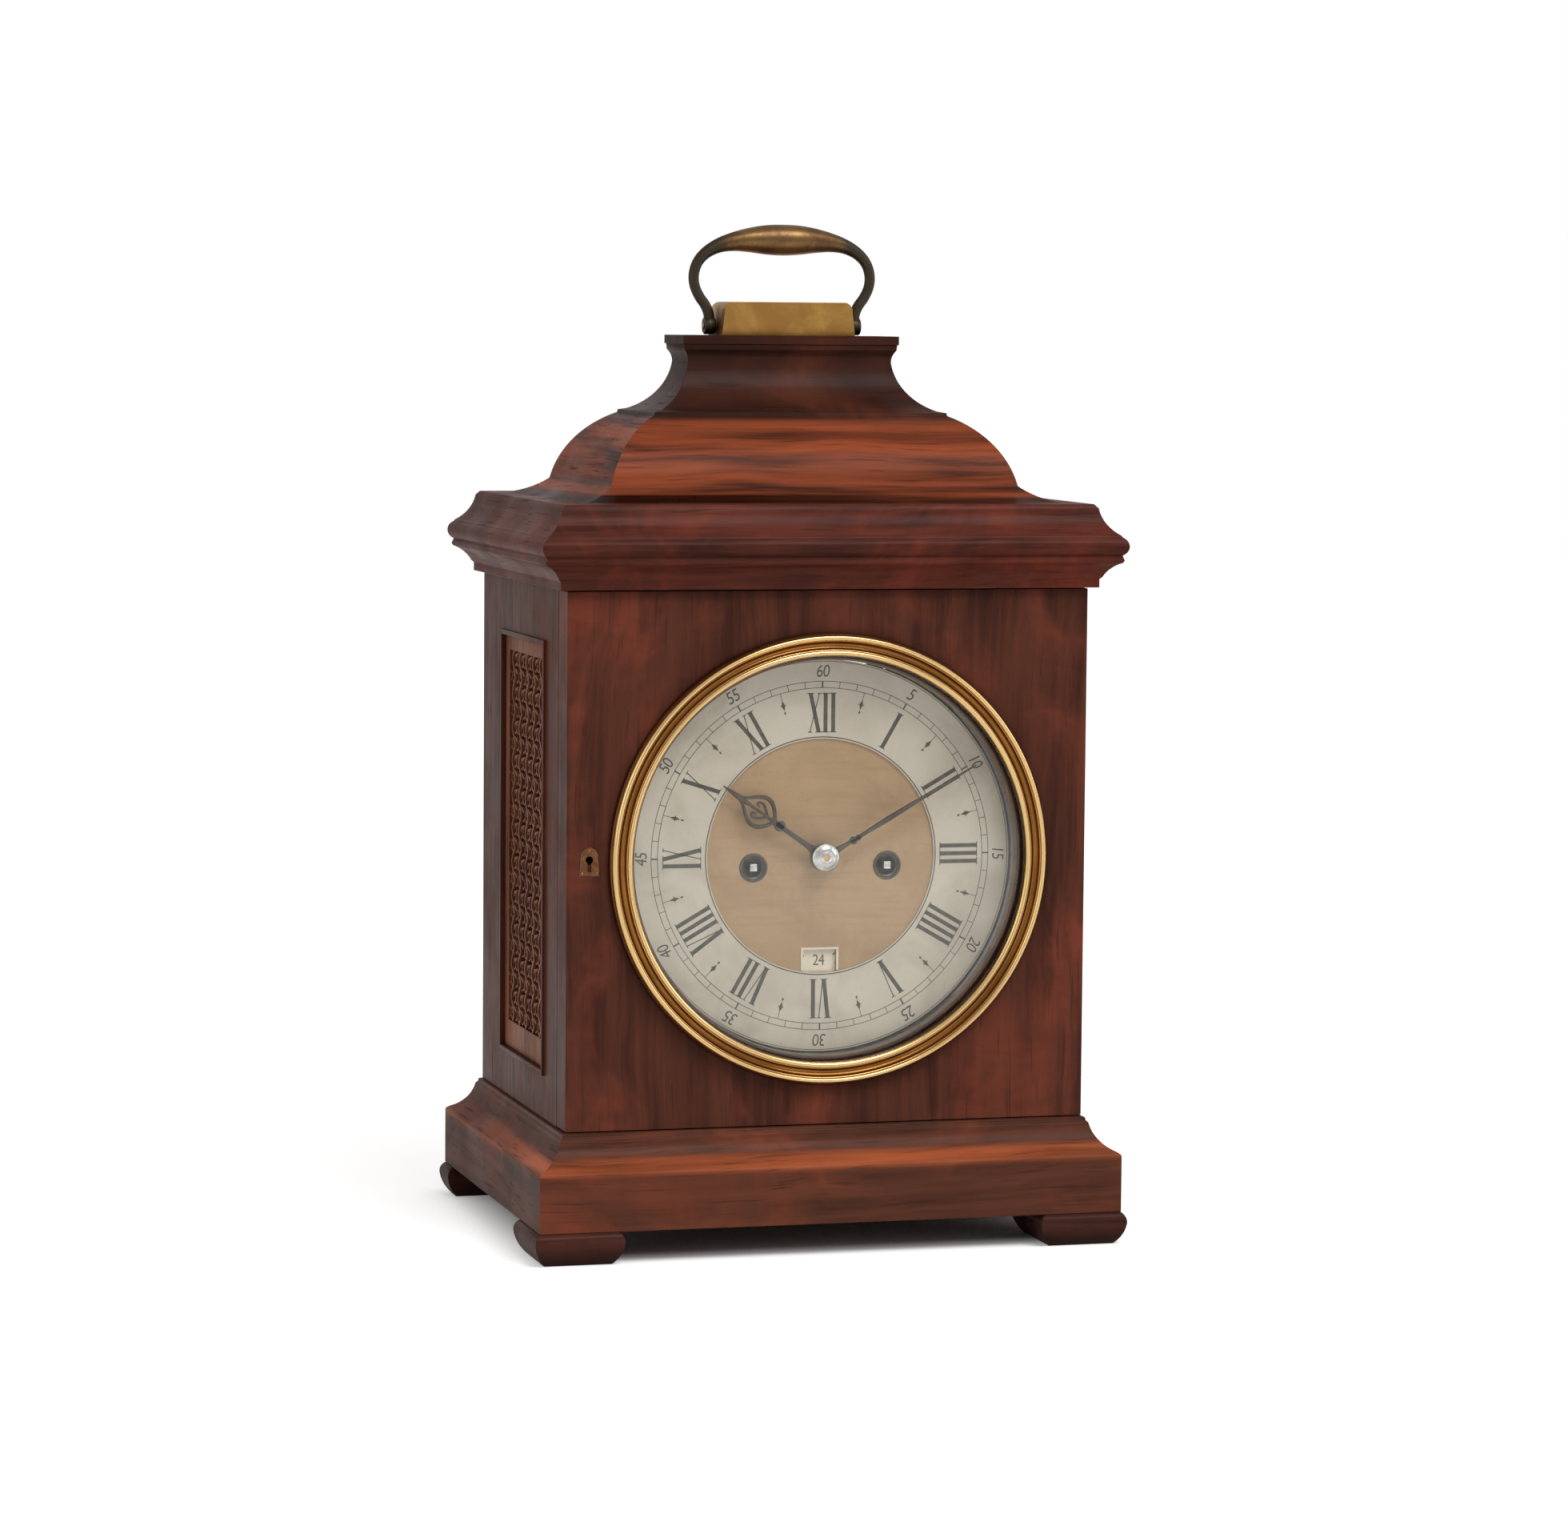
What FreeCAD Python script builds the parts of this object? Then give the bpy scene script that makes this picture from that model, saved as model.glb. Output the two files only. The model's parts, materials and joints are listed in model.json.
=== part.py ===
import FreeCAD, Part
import math
import os
from types import SimpleNamespace

import Sketcher
from FreeCAD import Placement, Rotation, Vector

# An inverted-bell-top bracket clock with a round dial and a two-train fusee movement.
# Millimetres. The origin is on the floor under the middle of the case; X runs to the
# right of the dial, Y to the back and Z up, so the dial faces -Y.

doc = FreeCAD.newDocument("bracket_clock")
sheet = doc.addObject("Spreadsheet::Sheet", "Sizes")

DRIVING = (
    # case
    ("body_width", 249, "case across its sides"),
    ("body_depth", 180, "case from the front door's face to the back"),
    ("body_height", 249, "case between the base and the cornice"),
    ("foot_height", 15.2, "bracket feet under the plinth"),
    ("foot_width", 42, "feet along the front"),
    ("front_foot_depth", 47, "front feet along the sides"),
    ("rear_foot_depth", 21, "rear feet along the sides"),
    ("foot_out", 17.6, "swell of the feet outside the case"),
    ("plinth_fascia", 25.8, "flat face of the plinth"),
    ("plinth_mould", 18, "hollow moulding over the plinth"),
    ("plinth_out", 15.3, "plinth outside the case"),
    ("rail_depth", 16, "plinth and cornice rails inside the case"),
    ("floor_thick", 12, "bottom board"),
    ("side_thick", 11, "side boards"),
    ("rail_thick", 12, "rails between the sides"),
    ("door_thick", 18.1, "front door"),
    ("door_gap", 0.4, "gap behind the front door"),
    ("door_play", 0.5, "gap over and under a door"),
    ("rear_door_thick", 12.6, "rear door"),
    ("rear_stile", 20, "frame of the rear door"),
    ("cornice_height", 38.8, "cornice moulding"),
    ("bead_out", 15.1, "bead of the cornice outside the case"),
    ("top_height", 76.7, "inverted bell top over the cornice"),
    ("seat_drop", 81, "seat board under the dial centre"),
    ("seat_thick", 10, "seat board"),
    # side frets
    ("fret_width", 88, "side opening along the depth"),
    ("fret_rise", 23, "side opening over the case floor"),
    ("fret_drop", 28, "side opening under the cornice"),
    ("fret_thick", 3.5, "fret sheet"),
    ("fret_lap", 6, "fret behind the edge of its opening"),
    ("fret_recess", 3.0, "fret behind the side's face"),
    ("silk_thick", 0.6, "silk behind the fret"),
    ("bead_proud", 1.4, "bead round the side opening"),
    # door furniture
    ("dial_low", 0.5, "dial centre under the middle of the door"),
    ("door_clear", 1.5, "opening in the door round the dial"),
    ("sight_clear", 2.5, "bezel round the dial"),
    ("bezel_width", 11, "bezel from its inside to its outside"),
    ("bezel_proud", 5.9, "bezel in front of the door"),
    ("glass_lap", 3, "dial glass under the bezel"),
    ("glass_thick", 2, "door glasses"),
    ("glass_rise", 5, "dial glass at its middle over its rim"),
    ("key_x", 113.8, "keyhole to the left of the dial centre"),
    ("knuckle_radius", 2.2, "hinge knuckles"),
    ("hinge_height", 32, "door hinges"),
    # dial and hands
    ("dial_radius", 91.5, "dial plate"),
    ("dial_setback", 13.6, "dial face behind the door's face"),
    ("chapter_thick", 1.0, "chapter ring"),
    ("chapter_width", 36.8, "chapter ring from its inside to its outside"),
    ("dial_thick", 1.6, "dial plate"),
    ("winding_x", 32.3, "winding squares beside the dial centre"),
    ("winding_drop", 5, "winding squares under the dial centre"),
    ("winding_hole", 5.5, "radius of the winding holes"),
    ("minute_length", 84, "minute hand"),
    ("hour_length", 59, "hour hand"),
    ("minute_angle", 60, "minute hand, clockwise from twelve"),
    ("hour_angle", 305, "hour hand, clockwise from twelve"),
    # movement
    ("plate_width", 132, "movement plates"),
    ("plate_height", 162, "movement plates"),
    ("plate_thick", 2.5, "movement plates"),
    ("dial_room", 13.8, "motion work between the dial and the front plate"),
    ("plate_room", 61.5, "inside, from plate to plate"),
    ("running_gap", 0.06, "play of a pivot in its hole"),
    ("wheel_thick", 1.6, "train wheels"),
    ("great_teeth", 96, "going great wheel"),
    ("centre_teeth", 96, "centre wheel"),
    ("third_teeth", 100, "third wheel"),
    ("pinion_leaves", 8, "all pinions"),
    ("strike_teeth", 84, "strike great wheel"),
    ("pin_teeth", 64, "pin wheel"),
    ("gathering_teeth", 56, "gathering wheel"),
    ("warning_teeth", 48, "warning wheel"),
    ("motion_teeth", 36, "cannon and minute wheels"),
    ("hour_teeth", 96, "hour wheel"),
    ("centre_module", 0.52, "centre wheel"),
    ("third_module", 0.4, "third wheel"),
    ("strike_module", 0.6, "strike great wheel"),
    ("pin_module", 0.45, "pin wheel"),
    ("gathering_module", 0.4, "gathering wheel"),
    ("warning_module", 0.38, "warning wheel"),
    ("motion_module", 0.5, "cannon and minute wheels"),
    ("escape_radius", 16, "escape wheel at its tips"),
    ("barrel_radius", 20.5, "spring barrels"),
    ("barrel_x", 36, "barrels beside the dial centre"),
    ("barrel_drop", 49, "barrels under the dial centre"),
    ("fusee_wide", 20, "fusees at their great wheels"),
    ("fusee_narrow", 8, "fusees at their small ends"),
    ("bob_rise", 34.6, "middle of the bob over the case floor"),
    ("bob_radius", 20, "pendulum bob"),
    ("bell_radius", 38, "strike bell at its mouth"),
    # handle
    ("mount_half", 32.6, "half of the handle mount at its foot"),
    ("mount_height", 15.8, "handle mount"),
    ("mount_depth", 26, "handle mount, front to back"),
    ("pivot_rise", 4.5, "handle pivot over the top board"),
    ("grip_rise", 45.1, "middle of the grip over the top board"),
    ("grip_radius", 7.35, "grip at its thickest"),
    ("bail_rod", 2.5, "radius of the handle's rods"),
)


class Size:
    """A number together with the sheet's formula for it, so that a property can be bound to it."""

    def __init__(self, text, value):
        self.text, self.value = text, float(value)

    def _with(self, sign, other, value, swapped=False):
        text = other.text if isinstance(other, Size) else repr(float(other))
        pair = (text, self.text) if swapped else (self.text, text)
        return Size(f"({pair[0]} {sign} {pair[1]})", value)

    def __add__(self, other):
        return self._with("+", other, self.value + float(other))

    def __sub__(self, other):
        return self._with("-", other, self.value - float(other))

    def __rsub__(self, other):
        return self._with("-", other, float(other) - self.value, swapped=True)

    def __mul__(self, other):
        return self._with("*", other, self.value * float(other))

    def __truediv__(self, other):
        return self._with("/", other, self.value / float(other))

    def __neg__(self):
        return Size(f"(-1 * {self.text})", -self.value)

    def __float__(self):
        return self.value

    __radd__, __rmul__ = __add__, __mul__


S, N = SimpleNamespace(), SimpleNamespace()
for row, (alias, number, note) in enumerate(DRIVING, 1):
    sheet.set(f"A{row}", note)
    sheet.set(f"B{row}", str(number))
    sheet.setAlias(f"B{row}", alias)
doc.recompute()
for alias, _, _ in DRIVING:
    setattr(N, alias, float(sheet.get(alias)))
    setattr(S, alias, Size(f"Sizes.{alias}", getattr(N, alias)))

# Places that many pieces share, bound and as plain numbers.
S.half_width, S.half_depth = S.body_width / 2, S.body_depth / 2
S.case_floor = S.foot_height + S.plinth_fascia + S.plinth_mould
S.case_top = S.case_floor + S.body_height
S.top_base = S.case_top + S.cornice_height
S.top_end = S.top_base + S.top_height
S.inner_x = S.half_width - S.side_thick
S.door_back = S.door_thick - S.half_depth
S.carcass_front = S.door_back + S.door_gap
S.rear_front = S.half_depth - S.rear_door_thick
S.dial_z = S.case_floor + S.body_height / 2 - S.dial_low
S.dial_front = S.dial_setback - S.half_depth
S.dial_back = S.dial_front + S.chapter_thick + S.dial_thick
S.plate_front = S.dial_back + S.dial_room
S.inside_front = S.plate_front + S.plate_thick
S.inside_back = S.inside_front + S.plate_room
S.plate_back = S.inside_back + S.plate_thick
S.seat_top = S.dial_z - S.seat_drop
S.fret_bottom = S.case_floor + S.fret_rise
S.fret_height = S.body_height - S.fret_rise - S.fret_drop
S.door_hole = S.dial_radius + S.door_clear
S.sight_radius = S.dial_radius + S.sight_clear
S.bezel_radius = S.sight_radius + S.bezel_width
S.glass_radius = S.sight_radius + S.glass_lap
S.chapter_inner = S.dial_radius - S.chapter_width
S.pivot_z = S.top_end + S.pivot_rise
S.seat_y = (S.inside_front + S.inside_back) / 2
S.foot_pillar_x = S.plate_width / 2 - 14
S.foot_pillar_z = S.seat_top + 9
for name, size in list(vars(S).items()):
    setattr(N, name, size.value)

NODES = {}
TURN = {"x": Rotation(Vector(0, 1, 0), 90), "y": Rotation(Vector(1, 0, 0), -90), "z": Rotation()}


def bind(item, prop, size):
    """Bind a property to the sheet, or set it where the size is a plain number."""
    if isinstance(size, Size):
        item.setExpression(prop, size.text)
    elif prop.startswith("Placement.Base."):
        setattr(item.Placement.Base, prop[-1], float(size))
    else:
        setattr(item, prop, float(size))


def seat(item, place):
    """Put an item at a place, whose coordinates may be bound."""
    item.Placement.Base = Vector(*(float(v) for v in place))
    for axis, size in zip("xyz", place):
        if isinstance(size, Size):
            bind(item, f"Placement.Base.{axis}", size)


def box(name, x, y, z):
    """A block between the two ends given for each axis."""
    item = doc.addObject("Part::Box", name)
    for prop, ends in (("Length", x), ("Width", y), ("Height", z)):
        bind(item, prop, ends[1] - ends[0])
    seat(item, (x[0], y[0], z[0]))
    return item


def rod(name, axis, place, ends, radius):
    """A round bar along an axis; place gives its two other coordinates."""
    item = doc.addObject("Part::Cylinder", name)
    item.Placement = Placement(Vector(), TURN[axis])
    bind(item, "Radius", radius)
    bind(item, "Height", ends[1] - ends[0])
    at = list(place)
    at.insert("xyz".index(axis), ends[0])
    seat(item, at)
    return item


def fuse(name, *items):
    item = doc.addObject("Part::MultiFuse", name)
    item.Shapes = list(items)
    item.Refine = True
    return item


def cut(name, base, *tools):
    item = doc.addObject("Part::Cut", name)
    item.Base = base
    item.Tool = tools[0] if len(tools) == 1 else fuse(f"{name}_cuts", *tools)
    return item


def group(name, *items):
    """Separate solids that share one node."""
    item = doc.addObject("Part::Compound", name)
    item.Links = list(items)
    return item


def shaped(name, shape, place=(0, 0, 0), turn=None):
    """A piece whose outline is drawn here from the sheet's numbers."""
    item = doc.addObject("Part::Feature", name)
    item.Shape = shape
    moved = Placement(Vector(*(float(v) for v in place)), turn or Rotation())
    item.Placement = moved.multiply(shape.Placement)
    return item


def node(name, item):
    """Keep an item as a sub-part under its own label."""
    item.Label = name
    NODES[name] = item
    return item


# ---- outlines -------------------------------------------------------------------------
# An outline is a list of points (a, b). A point (a, b, via_a, via_b) is reached by an arc.


def flat_edges(outline, closed=True):
    """Edges through an outline, in the XY plane."""
    points = list(outline) + ([outline[0][:2]] if closed else [])
    edges = []
    for start, end in zip(points, points[1:]):
        a, b = Vector(start[0], start[1], 0), Vector(end[0], end[1], 0)
        if len(end) == 4:
            edges.append(Part.Arc(a, Vector(end[2], end[3], 0), b).toShape())
        elif a.distanceToPoint(b) > 1e-6:
            edges.append(Part.LineSegment(a, b).toShape())
    return edges


def prism(outline, axis, start, end):
    """A solid with the outline across an axis: (y, z) for x, (x, z) for y and (x, y) for z."""
    face = Part.Face(Part.Wire(flat_edges(outline)))
    solid = face.extrude(Vector(0, 0, end - start))
    rows = {
        "x": (0, 0, 1, start, 1, 0, 0, 0, 0, 1, 0, 0),
        "y": (1, 0, 0, 0, 0, 0, -1, end, 0, 1, 0, 0),
        "z": (1, 0, 0, 0, 0, 1, 0, 0, 0, 0, 1, start),
    }
    return solid.transformed(FreeCAD.Matrix(*rows[axis], 0, 0, 0, 1))


def both_sides(outline):
    """An outline on the right of a middle line, closed by its mirror image on the left."""
    left = []
    for index in range(len(outline) - 1, -1, -1):
        point = outline[index]
        after = outline[index + 1] if index + 1 < len(outline) else point[:2]
        via = (-after[2], after[3]) if len(after) == 4 else ()
        left.append((-point[0], point[1]) + via)
    return list(outline) + left


def moulded(profile, half_x, half_y, base):
    """A block whose four sides all follow a profile of (outward, up) points."""

    def outline(half):
        moved = []
        for point in profile:
            via = (half + point[2], base + point[3]) if len(point) == 4 else ()
            moved.append((half + point[0], base + point[1]) + via)
        return both_sides(moved)

    reach = 2 * (half_x + half_y)
    return prism(outline(half_x), "y", -reach, reach).common(
        prism(outline(half_y), "x", -reach, reach)
    )


def block(x, y, z):
    return Part.makeBox(x[1] - x[0], y[1] - y[0], z[1] - z[0], Vector(x[0], y[0], z[0]))


def bar(axis, place, ends, radius):
    """A round bar as a bare shape."""
    at = list(place)
    at.insert("xyz".index(axis), ends[0])
    return Part.makeCylinder(
        radius, ends[1] - ends[0], Vector(*at), TURN[axis].multVec(Vector(0, 0, 1))
    )


def mitred(frame, half_x, half_y, reach, low, high):
    """A frame parted at its corners into four lengths."""
    lengths = []
    for along, across, turned in ((half_x, half_y, False), (half_y, half_x, True)):
        for side in (-1, 1):
            outer, inner = side * (across + reach), side * (across - reach)
            wedge = [
                (-along - reach, outer),
                (along + reach, outer),
                (along - reach, inner),
                (-along + reach, inner),
            ]
            if turned:
                wedge = [(b, a) for a, b in wedge]
            lengths += frame.common(prism(wedge, "z", low, high)).Solids
    return Part.makeCompound(lengths)


def turned_body(name, plane, outline, place):
    """A round piece: a profile of (radius, along) points turned about the sketch's upright."""
    body = doc.addObject("PartDesign::Body", name)
    sketch = body.newObject("Sketcher::SketchObject", f"{name}_profile")
    features = {f.Role: f for f in body.Origin.OriginFeatures}
    sketch.AttachmentSupport = [(features[plane], "")]
    sketch.MapMode = "FlatFace"
    points = [tuple(float(v) for v in point) for point in outline]
    edges = []
    for index, end in enumerate(points[1:] + points[:1]):
        start = points[index]
        a, b = Vector(start[0], start[1], 0), Vector(end[0], end[1], 0)
        if len(end) == 4:
            via = Vector(end[2], end[3], 0)
            forward = via.sub(a).cross(b.sub(via)).z > 0
            arc = Part.Arc(a, via, b)
            edges.append((sketch.addGeometry(arc), forward))
            radius = arc.toShape().Curve.Radius
            sketch.addConstraint(Sketcher.Constraint("Radius", edges[-1][0], radius))
        else:
            edges.append((sketch.addGeometry(Part.LineSegment(a, b)), True))
    for index, (edge, forward) in enumerate(edges):
        after, ahead = edges[(index + 1) % len(edges)]
        sketch.addConstraint(
            Sketcher.Constraint("Coincident", edge, 2 if forward else 1, after, 1 if ahead else 2)
        )
    for index, (edge, forward) in enumerate(edges):
        corner = 1 if forward else 2
        for kind, size in zip(("DistanceX", "DistanceY"), outline[index][:2]):
            number = sketch.addConstraint(Sketcher.Constraint(kind, edge, corner, float(size)))
            if isinstance(size, Size):
                sketch.setExpression(f"Constraints[{number}]", size.text)
    turn = body.newObject("PartDesign::Revolution", f"{name}_turned")
    turn.Profile = sketch
    turn.ReferenceAxis = (sketch, ["V_Axis"])
    turn.Angle = 360
    seat(body, place)
    return body


# ---- the case ---------------------------------------------------------------------------

MITRE_REACH, CADDY_REACH = 30, 70


def bracket_feet():
    """Four swelling block feet under the corners of the plinth."""
    tall = N.foot_height
    swell = [(-5.1, 0), (0, 0.62 * tall, -1.6, 0.3 * tall), (-2.2, tall, -0.5, 0.87 * tall)]
    feet = []
    for front, deep in ((True, N.front_foot_depth), (False, N.rear_foot_depth)):
        foot = moulded(swell, N.foot_width / 2, deep / 2, 0)
        middle_x = N.half_width + N.foot_out - N.foot_width / 2
        middle_y = N.half_depth + N.foot_out - deep / 2
        for side in (-1, 1):
            moved = foot.copy()
            moved.translate(Vector(side * middle_x, -middle_y if front else middle_y, 0))
            feet.append(moved)
    return Part.makeCompound(feet)


def plinth_moulding():
    """Four mitred lengths: an upright face with a hollow moulding over it."""
    face = N.foot_height + N.plinth_fascia
    out, top = N.plinth_out, N.case_floor
    profile = [
        (out, N.foot_height),
        (out, face),
        (out - 1.0, face + 1.9, out - 0.3, face + 1.3),
        (out - 1.7, face + 2.4),
        (2.8, top - 2.6, 6.2, face + 8.0),
        (1.8, top - 2.0),
        (1.6, top - 0.4),
        (0, top),
    ]
    frame = moulded(profile, N.half_width, N.half_depth, 0)
    ledge = top - N.floor_thick
    inner_x, inner_y = N.half_width - N.rail_depth, N.half_depth - N.rail_depth
    frame = frame.cut(block((-inner_x, inner_x), (-inner_y, inner_y), (0, top)))
    board = block((-N.half_width, N.half_width), (-N.half_depth, N.half_depth), (ledge, top))
    return mitred(frame.cut(board), N.half_width, N.half_depth, MITRE_REACH, 0, top)


def cornice_moulding():
    """Four mitred lengths: cove, bead and a smaller cove under the bell top."""
    out = N.bead_out
    profile = [
        (4.2, 0),
        (4.2, 4.0),
        (5.2, 4.8),
        (out - 2.3, 11.9, 8.2, 9.0),
        (out - 1.7, 13.0),
        (out - 2.6, 15.2),
        (out - 2.7, 23.8, out, 19.6),
        (out - 2.9, 24.4),
        (3.6, N.cornice_height - 1.9, 5.9, 30.7),
        (1.8, N.cornice_height),
    ]
    frame = moulded(profile, N.half_width, N.half_depth, N.case_top)
    inner_x, inner_y = N.half_width - N.rail_depth, N.half_depth - N.rail_depth
    frame = frame.cut(block((-inner_x, inner_x), (-inner_y, inner_y), (N.case_top, N.top_base)))
    return mitred(frame, N.half_width, N.half_depth, MITRE_REACH, N.case_top, N.top_base)


BOLT_X = 18
BOLT_RADIUS, BOLT_HEAD = 2.5, 3.5
CAVITY_TOP = 32.7


SWELL_TALL = 41.6


def bell_top():
    """The hollow caddy: four mitred lengths of a swelling bell, and a block with a hollow neck on them."""
    tall, join = N.top_height, SWELL_TALL
    half_x, half_y = N.half_width, N.half_depth
    bell = [
        (0.5, 0),
        (-26.4, 7.4, -17.5, 2.2),
        (-53.2, join - 2.0, -34.4, 24.8),
        (-53.4, join - 0.7),
        (-57.0, join),
    ]
    neck = [
        (-57.0, 0),
        (-74.7, tall - join - 12.5, -68.0, 7.7),
        (-72.6, tall - join - 6.7, -74.3, tall - join - 9.6),
        (-72.4, tall - join - 4.2),
        (-71.7, tall - join - 4.0),
        (-71.7, tall - join),
    ]
    cavity = [(-35, 0), (-39, 17), (-50, 27), (-66, CAVITY_TOP), (-66, join)]
    shell = moulded(bell, half_x, half_y, N.top_base).cut(moulded(cavity, half_x, half_y, N.top_base))
    lengths = mitred(shell, half_x, half_y, CADDY_REACH, N.top_base, N.top_base + join).Solids
    plug_x, plug_y = half_x - 66, half_y - 66
    block_z = (N.top_base + CAVITY_TOP, N.top_base + join)
    crown = block((-plug_x, plug_x), (-plug_y, plug_y), block_z)
    crown = crown.fuse(moulded(neck, half_x, half_y, N.top_base + join)).removeSplitter()
    for x in (-BOLT_X, BOLT_X):
        crown = crown.cut(bar("z", (x, 0), (N.top_base, N.top_end), BOLT_RADIUS + 0.1))
    return Part.makeCompound(lengths + crown.Solids)


HINGE_LEAF = 1.0
LEAF_WIDTH = 10.5
LEAF_GAP = 0.2
PIN_RADIUS = 0.9


class Butt:
    """A pair of butt hinges on one upright axis, with leaves let in on both sides of a joint."""

    def __init__(self, x, y, wood, into_depth):
        self.x, self.y, self.wood, self.into_depth = x, y, wood, into_depth
        rise = N.case_floor + 1.15 * N.hinge_height
        self.heights = (rise, N.case_top - 1.15 * N.hinge_height)

    def slab(self, u, v, z):
        """A block from u into the joint and from v across it, at heights z."""
        if self.into_depth:
            x, y = (self.x + v[0], self.x + v[1]), (self.y - u[1], self.y - u[0])
        else:
            x, y = (self.x - u[1], self.x - u[0]), (self.y + v[0], self.y + v[1])
        return block(x, y, z)

    def leaves(self, side):
        """The leaf let into the wood, on the case's side (1) or the door's (-1)."""
        v = sorted((side * LEAF_GAP, side * (LEAF_GAP + HINGE_LEAF)))
        half = N.hinge_height / 2
        return [self.slab((self.wood, self.wood + LEAF_WIDTH), v, (z - half, z + half)) for z in self.heights]

    def half(self, side):
        """Both hinges' halves on one side, with their knuckles, and the pins on the case's."""
        v = sorted((side * LEAF_GAP, side * (LEAF_GAP + HINGE_LEAF)))
        halves = []
        for leaf, z in zip(self.leaves(side), self.heights):
            tall, end = N.hinge_height, 0.32 * N.hinge_height
            bands = (
                [(z - tall / 2, z - tall / 2 + end), (z + tall / 2 - end, z + tall / 2)]
                if side > 0
                else [(z - tall / 2 + end + 0.2, z + tall / 2 - end - 0.2)]
            )
            for band in bands:
                knuckle = bar("z", (self.x, self.y), band, N.knuckle_radius)
                leaf = leaf.fuse([knuckle, self.slab((0, self.wood), v, band)])
            if side > 0:
                pin = bar("z", (self.x, self.y), (z - tall / 2, z + tall / 2), PIN_RADIUS)
                leaf = leaf.fuse(pin)
            else:
                hole = bar("z", (self.x, self.y), (z - tall, z + tall), PIN_RADIUS + 0.08)
                leaf = leaf.cut(hole)
            halves.append(leaf.removeSplitter())
        return halves


front_hinges = Butt(
    N.half_width + N.knuckle_radius + 0.5,
    (N.door_back + N.carcass_front) / 2,
    N.knuckle_radius + 0.5,
    False,
)
REAR_PLAY = 0.4
rear_hinges = Butt(
    N.inner_x - REAR_PLAY, N.half_depth + N.knuckle_radius + 0.3, N.knuckle_radius + 0.3, True
)

# the hook bolt of the front door's lock, across x from LOCK_BOLT_X - 1.2 to + 1.2
LOCK_BOLT_X = -(N.key_x + 3.2)
LOCK_BOLT_HALF = 1.2
LOCK_THROW = 4
KEY_Z = N.dial_z + 1.7


def lock_bolt():
    """A plate in the lock with a neck and an upward hook behind the door."""
    back = N.door_back
    low = KEY_Z - 1.7
    outline = [
        (back - 6.1, low - 5),
        (back - 0.6, low - 5),
        (back - 0.6, low),
        (back + 6.4, low),
        (back + 6.4, low + 7.2),
        (back + 2.7, low + 7.2),
        (back + 2.7, low + 3.2),
        (back - 0.6, low + 3.2),
        (back - 0.6, low + 5),
        (back - 6.1, low + 5),
    ]
    return prism(outline, "x", LOCK_BOLT_X - LOCK_BOLT_HALF, LOCK_BOLT_X + LOCK_BOLT_HALF)


LOCK_X = (LOCK_BOLT_X - 4.2, LOCK_BOLT_X + 16)
LOCK_Z = (KEY_Z - 17, KEY_Z + 17)
LOCK_DEEP = 12


def fret_opening(grow):
    """The round-cornered outline (y, z) of a side opening, grown by a margin."""
    half, low, high = N.fret_width / 2 + grow, N.fret_bottom - grow, N.fret_bottom + N.fret_height + grow
    return [(-half, low), (half, low), (half, high), (-half, high)]


BEAD_WIDTH = 2.6


def side_board(side):
    """A side with its beaded opening, the rebate behind it and the beds of its hinges or lock."""
    x = sorted((side * N.inner_x, side * N.half_width))
    board = block(x, (N.carcass_front, N.half_depth), (N.case_floor, N.case_top))
    bead = sorted((side * N.half_width, side * (N.half_width + N.bead_proud)))
    board = board.fuse(prism(fret_opening(BEAD_WIDTH), "x", *bead))
    board = board.cut(prism(fret_opening(0), "x", min(x[0], bead[0]), max(x[1], bead[1])))
    rebate = sorted((side * N.inner_x, side * (N.half_width - N.fret_recess)))
    board = board.cut(prism(fret_opening(N.fret_lap), "x", *rebate))
    if side > 0:
        for bed in front_hinges.leaves(1) + rear_hinges.leaves(1):
            board = board.cut(bed)
        return board
    mouth_x = (LOCK_BOLT_X - 1.8, LOCK_BOLT_X + 1.8)
    front, low = N.carcass_front, KEY_Z - 1.7
    board = board.cut(block(mouth_x, (front, front + 2), (low - 0.6, low + 7.9)))
    return board.cut(block(mouth_x, (front + 1.9, front + 7.5), (low - 0.6, low + 12.5)))


def side_frets():
    """A pierced sheet for each side, behind its opening."""
    outer = N.half_width - N.fret_recess
    low, high = N.fret_bottom - N.fret_lap + 0.2, N.fret_bottom + N.fret_height + N.fret_lap - 0.2
    half = N.fret_width / 2 + N.fret_lap - 0.2
    sheet_shape = block((0, N.fret_thick), (-half, half), (low, high))
    columns, rows = 4, 11
    cell_y, cell_z = (N.fret_width - 8) / columns, (N.fret_height - 8) / rows
    leaf = [
        (0, -0.40 * cell_z),
        (0, 0.40 * cell_z, 0.36 * cell_y, -0.02 * cell_z),
        (0, -0.40 * cell_z, 0.02 * cell_y, -0.05 * cell_z),
    ]
    eye_radius = 0.09 * cell_z
    holes = []
    for row in range(rows):
        z = N.fret_bottom + 4 + (row + 0.5) * cell_z
        for column in range(columns):
            y = -N.fret_width / 2 + 4 + (column + 0.5) * cell_y
            for flip in (-1, 1):
                lean = 24 if (row + column) % 2 else -24
                hole = prism(leaf, "x", -1, N.fret_thick + 1)
                if flip < 0:
                    hole = hole.mirror(Vector(), Vector(0, 1, 0))
                hole.rotate(Vector(), Vector(1, 0, 0), lean)
                hole.translate(Vector(0, y + flip * 0.06 * cell_y, z))
                holes.append(hole)
            if row:
                eye = (y - 0.5 * cell_y * (-1) ** (row + column) * 0.55, z - 0.5 * cell_z)
                holes.append(bar("x", eye, (-1, N.fret_thick + 1), eye_radius))
    sheet_shape = sheet_shape.cut(holes)
    sheet_shape.translate(Vector(outer - N.fret_thick, 0, 0))
    return Part.makeCompound([sheet_shape, sheet_shape.mirror(Vector(), Vector(1, 0, 0))])


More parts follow.
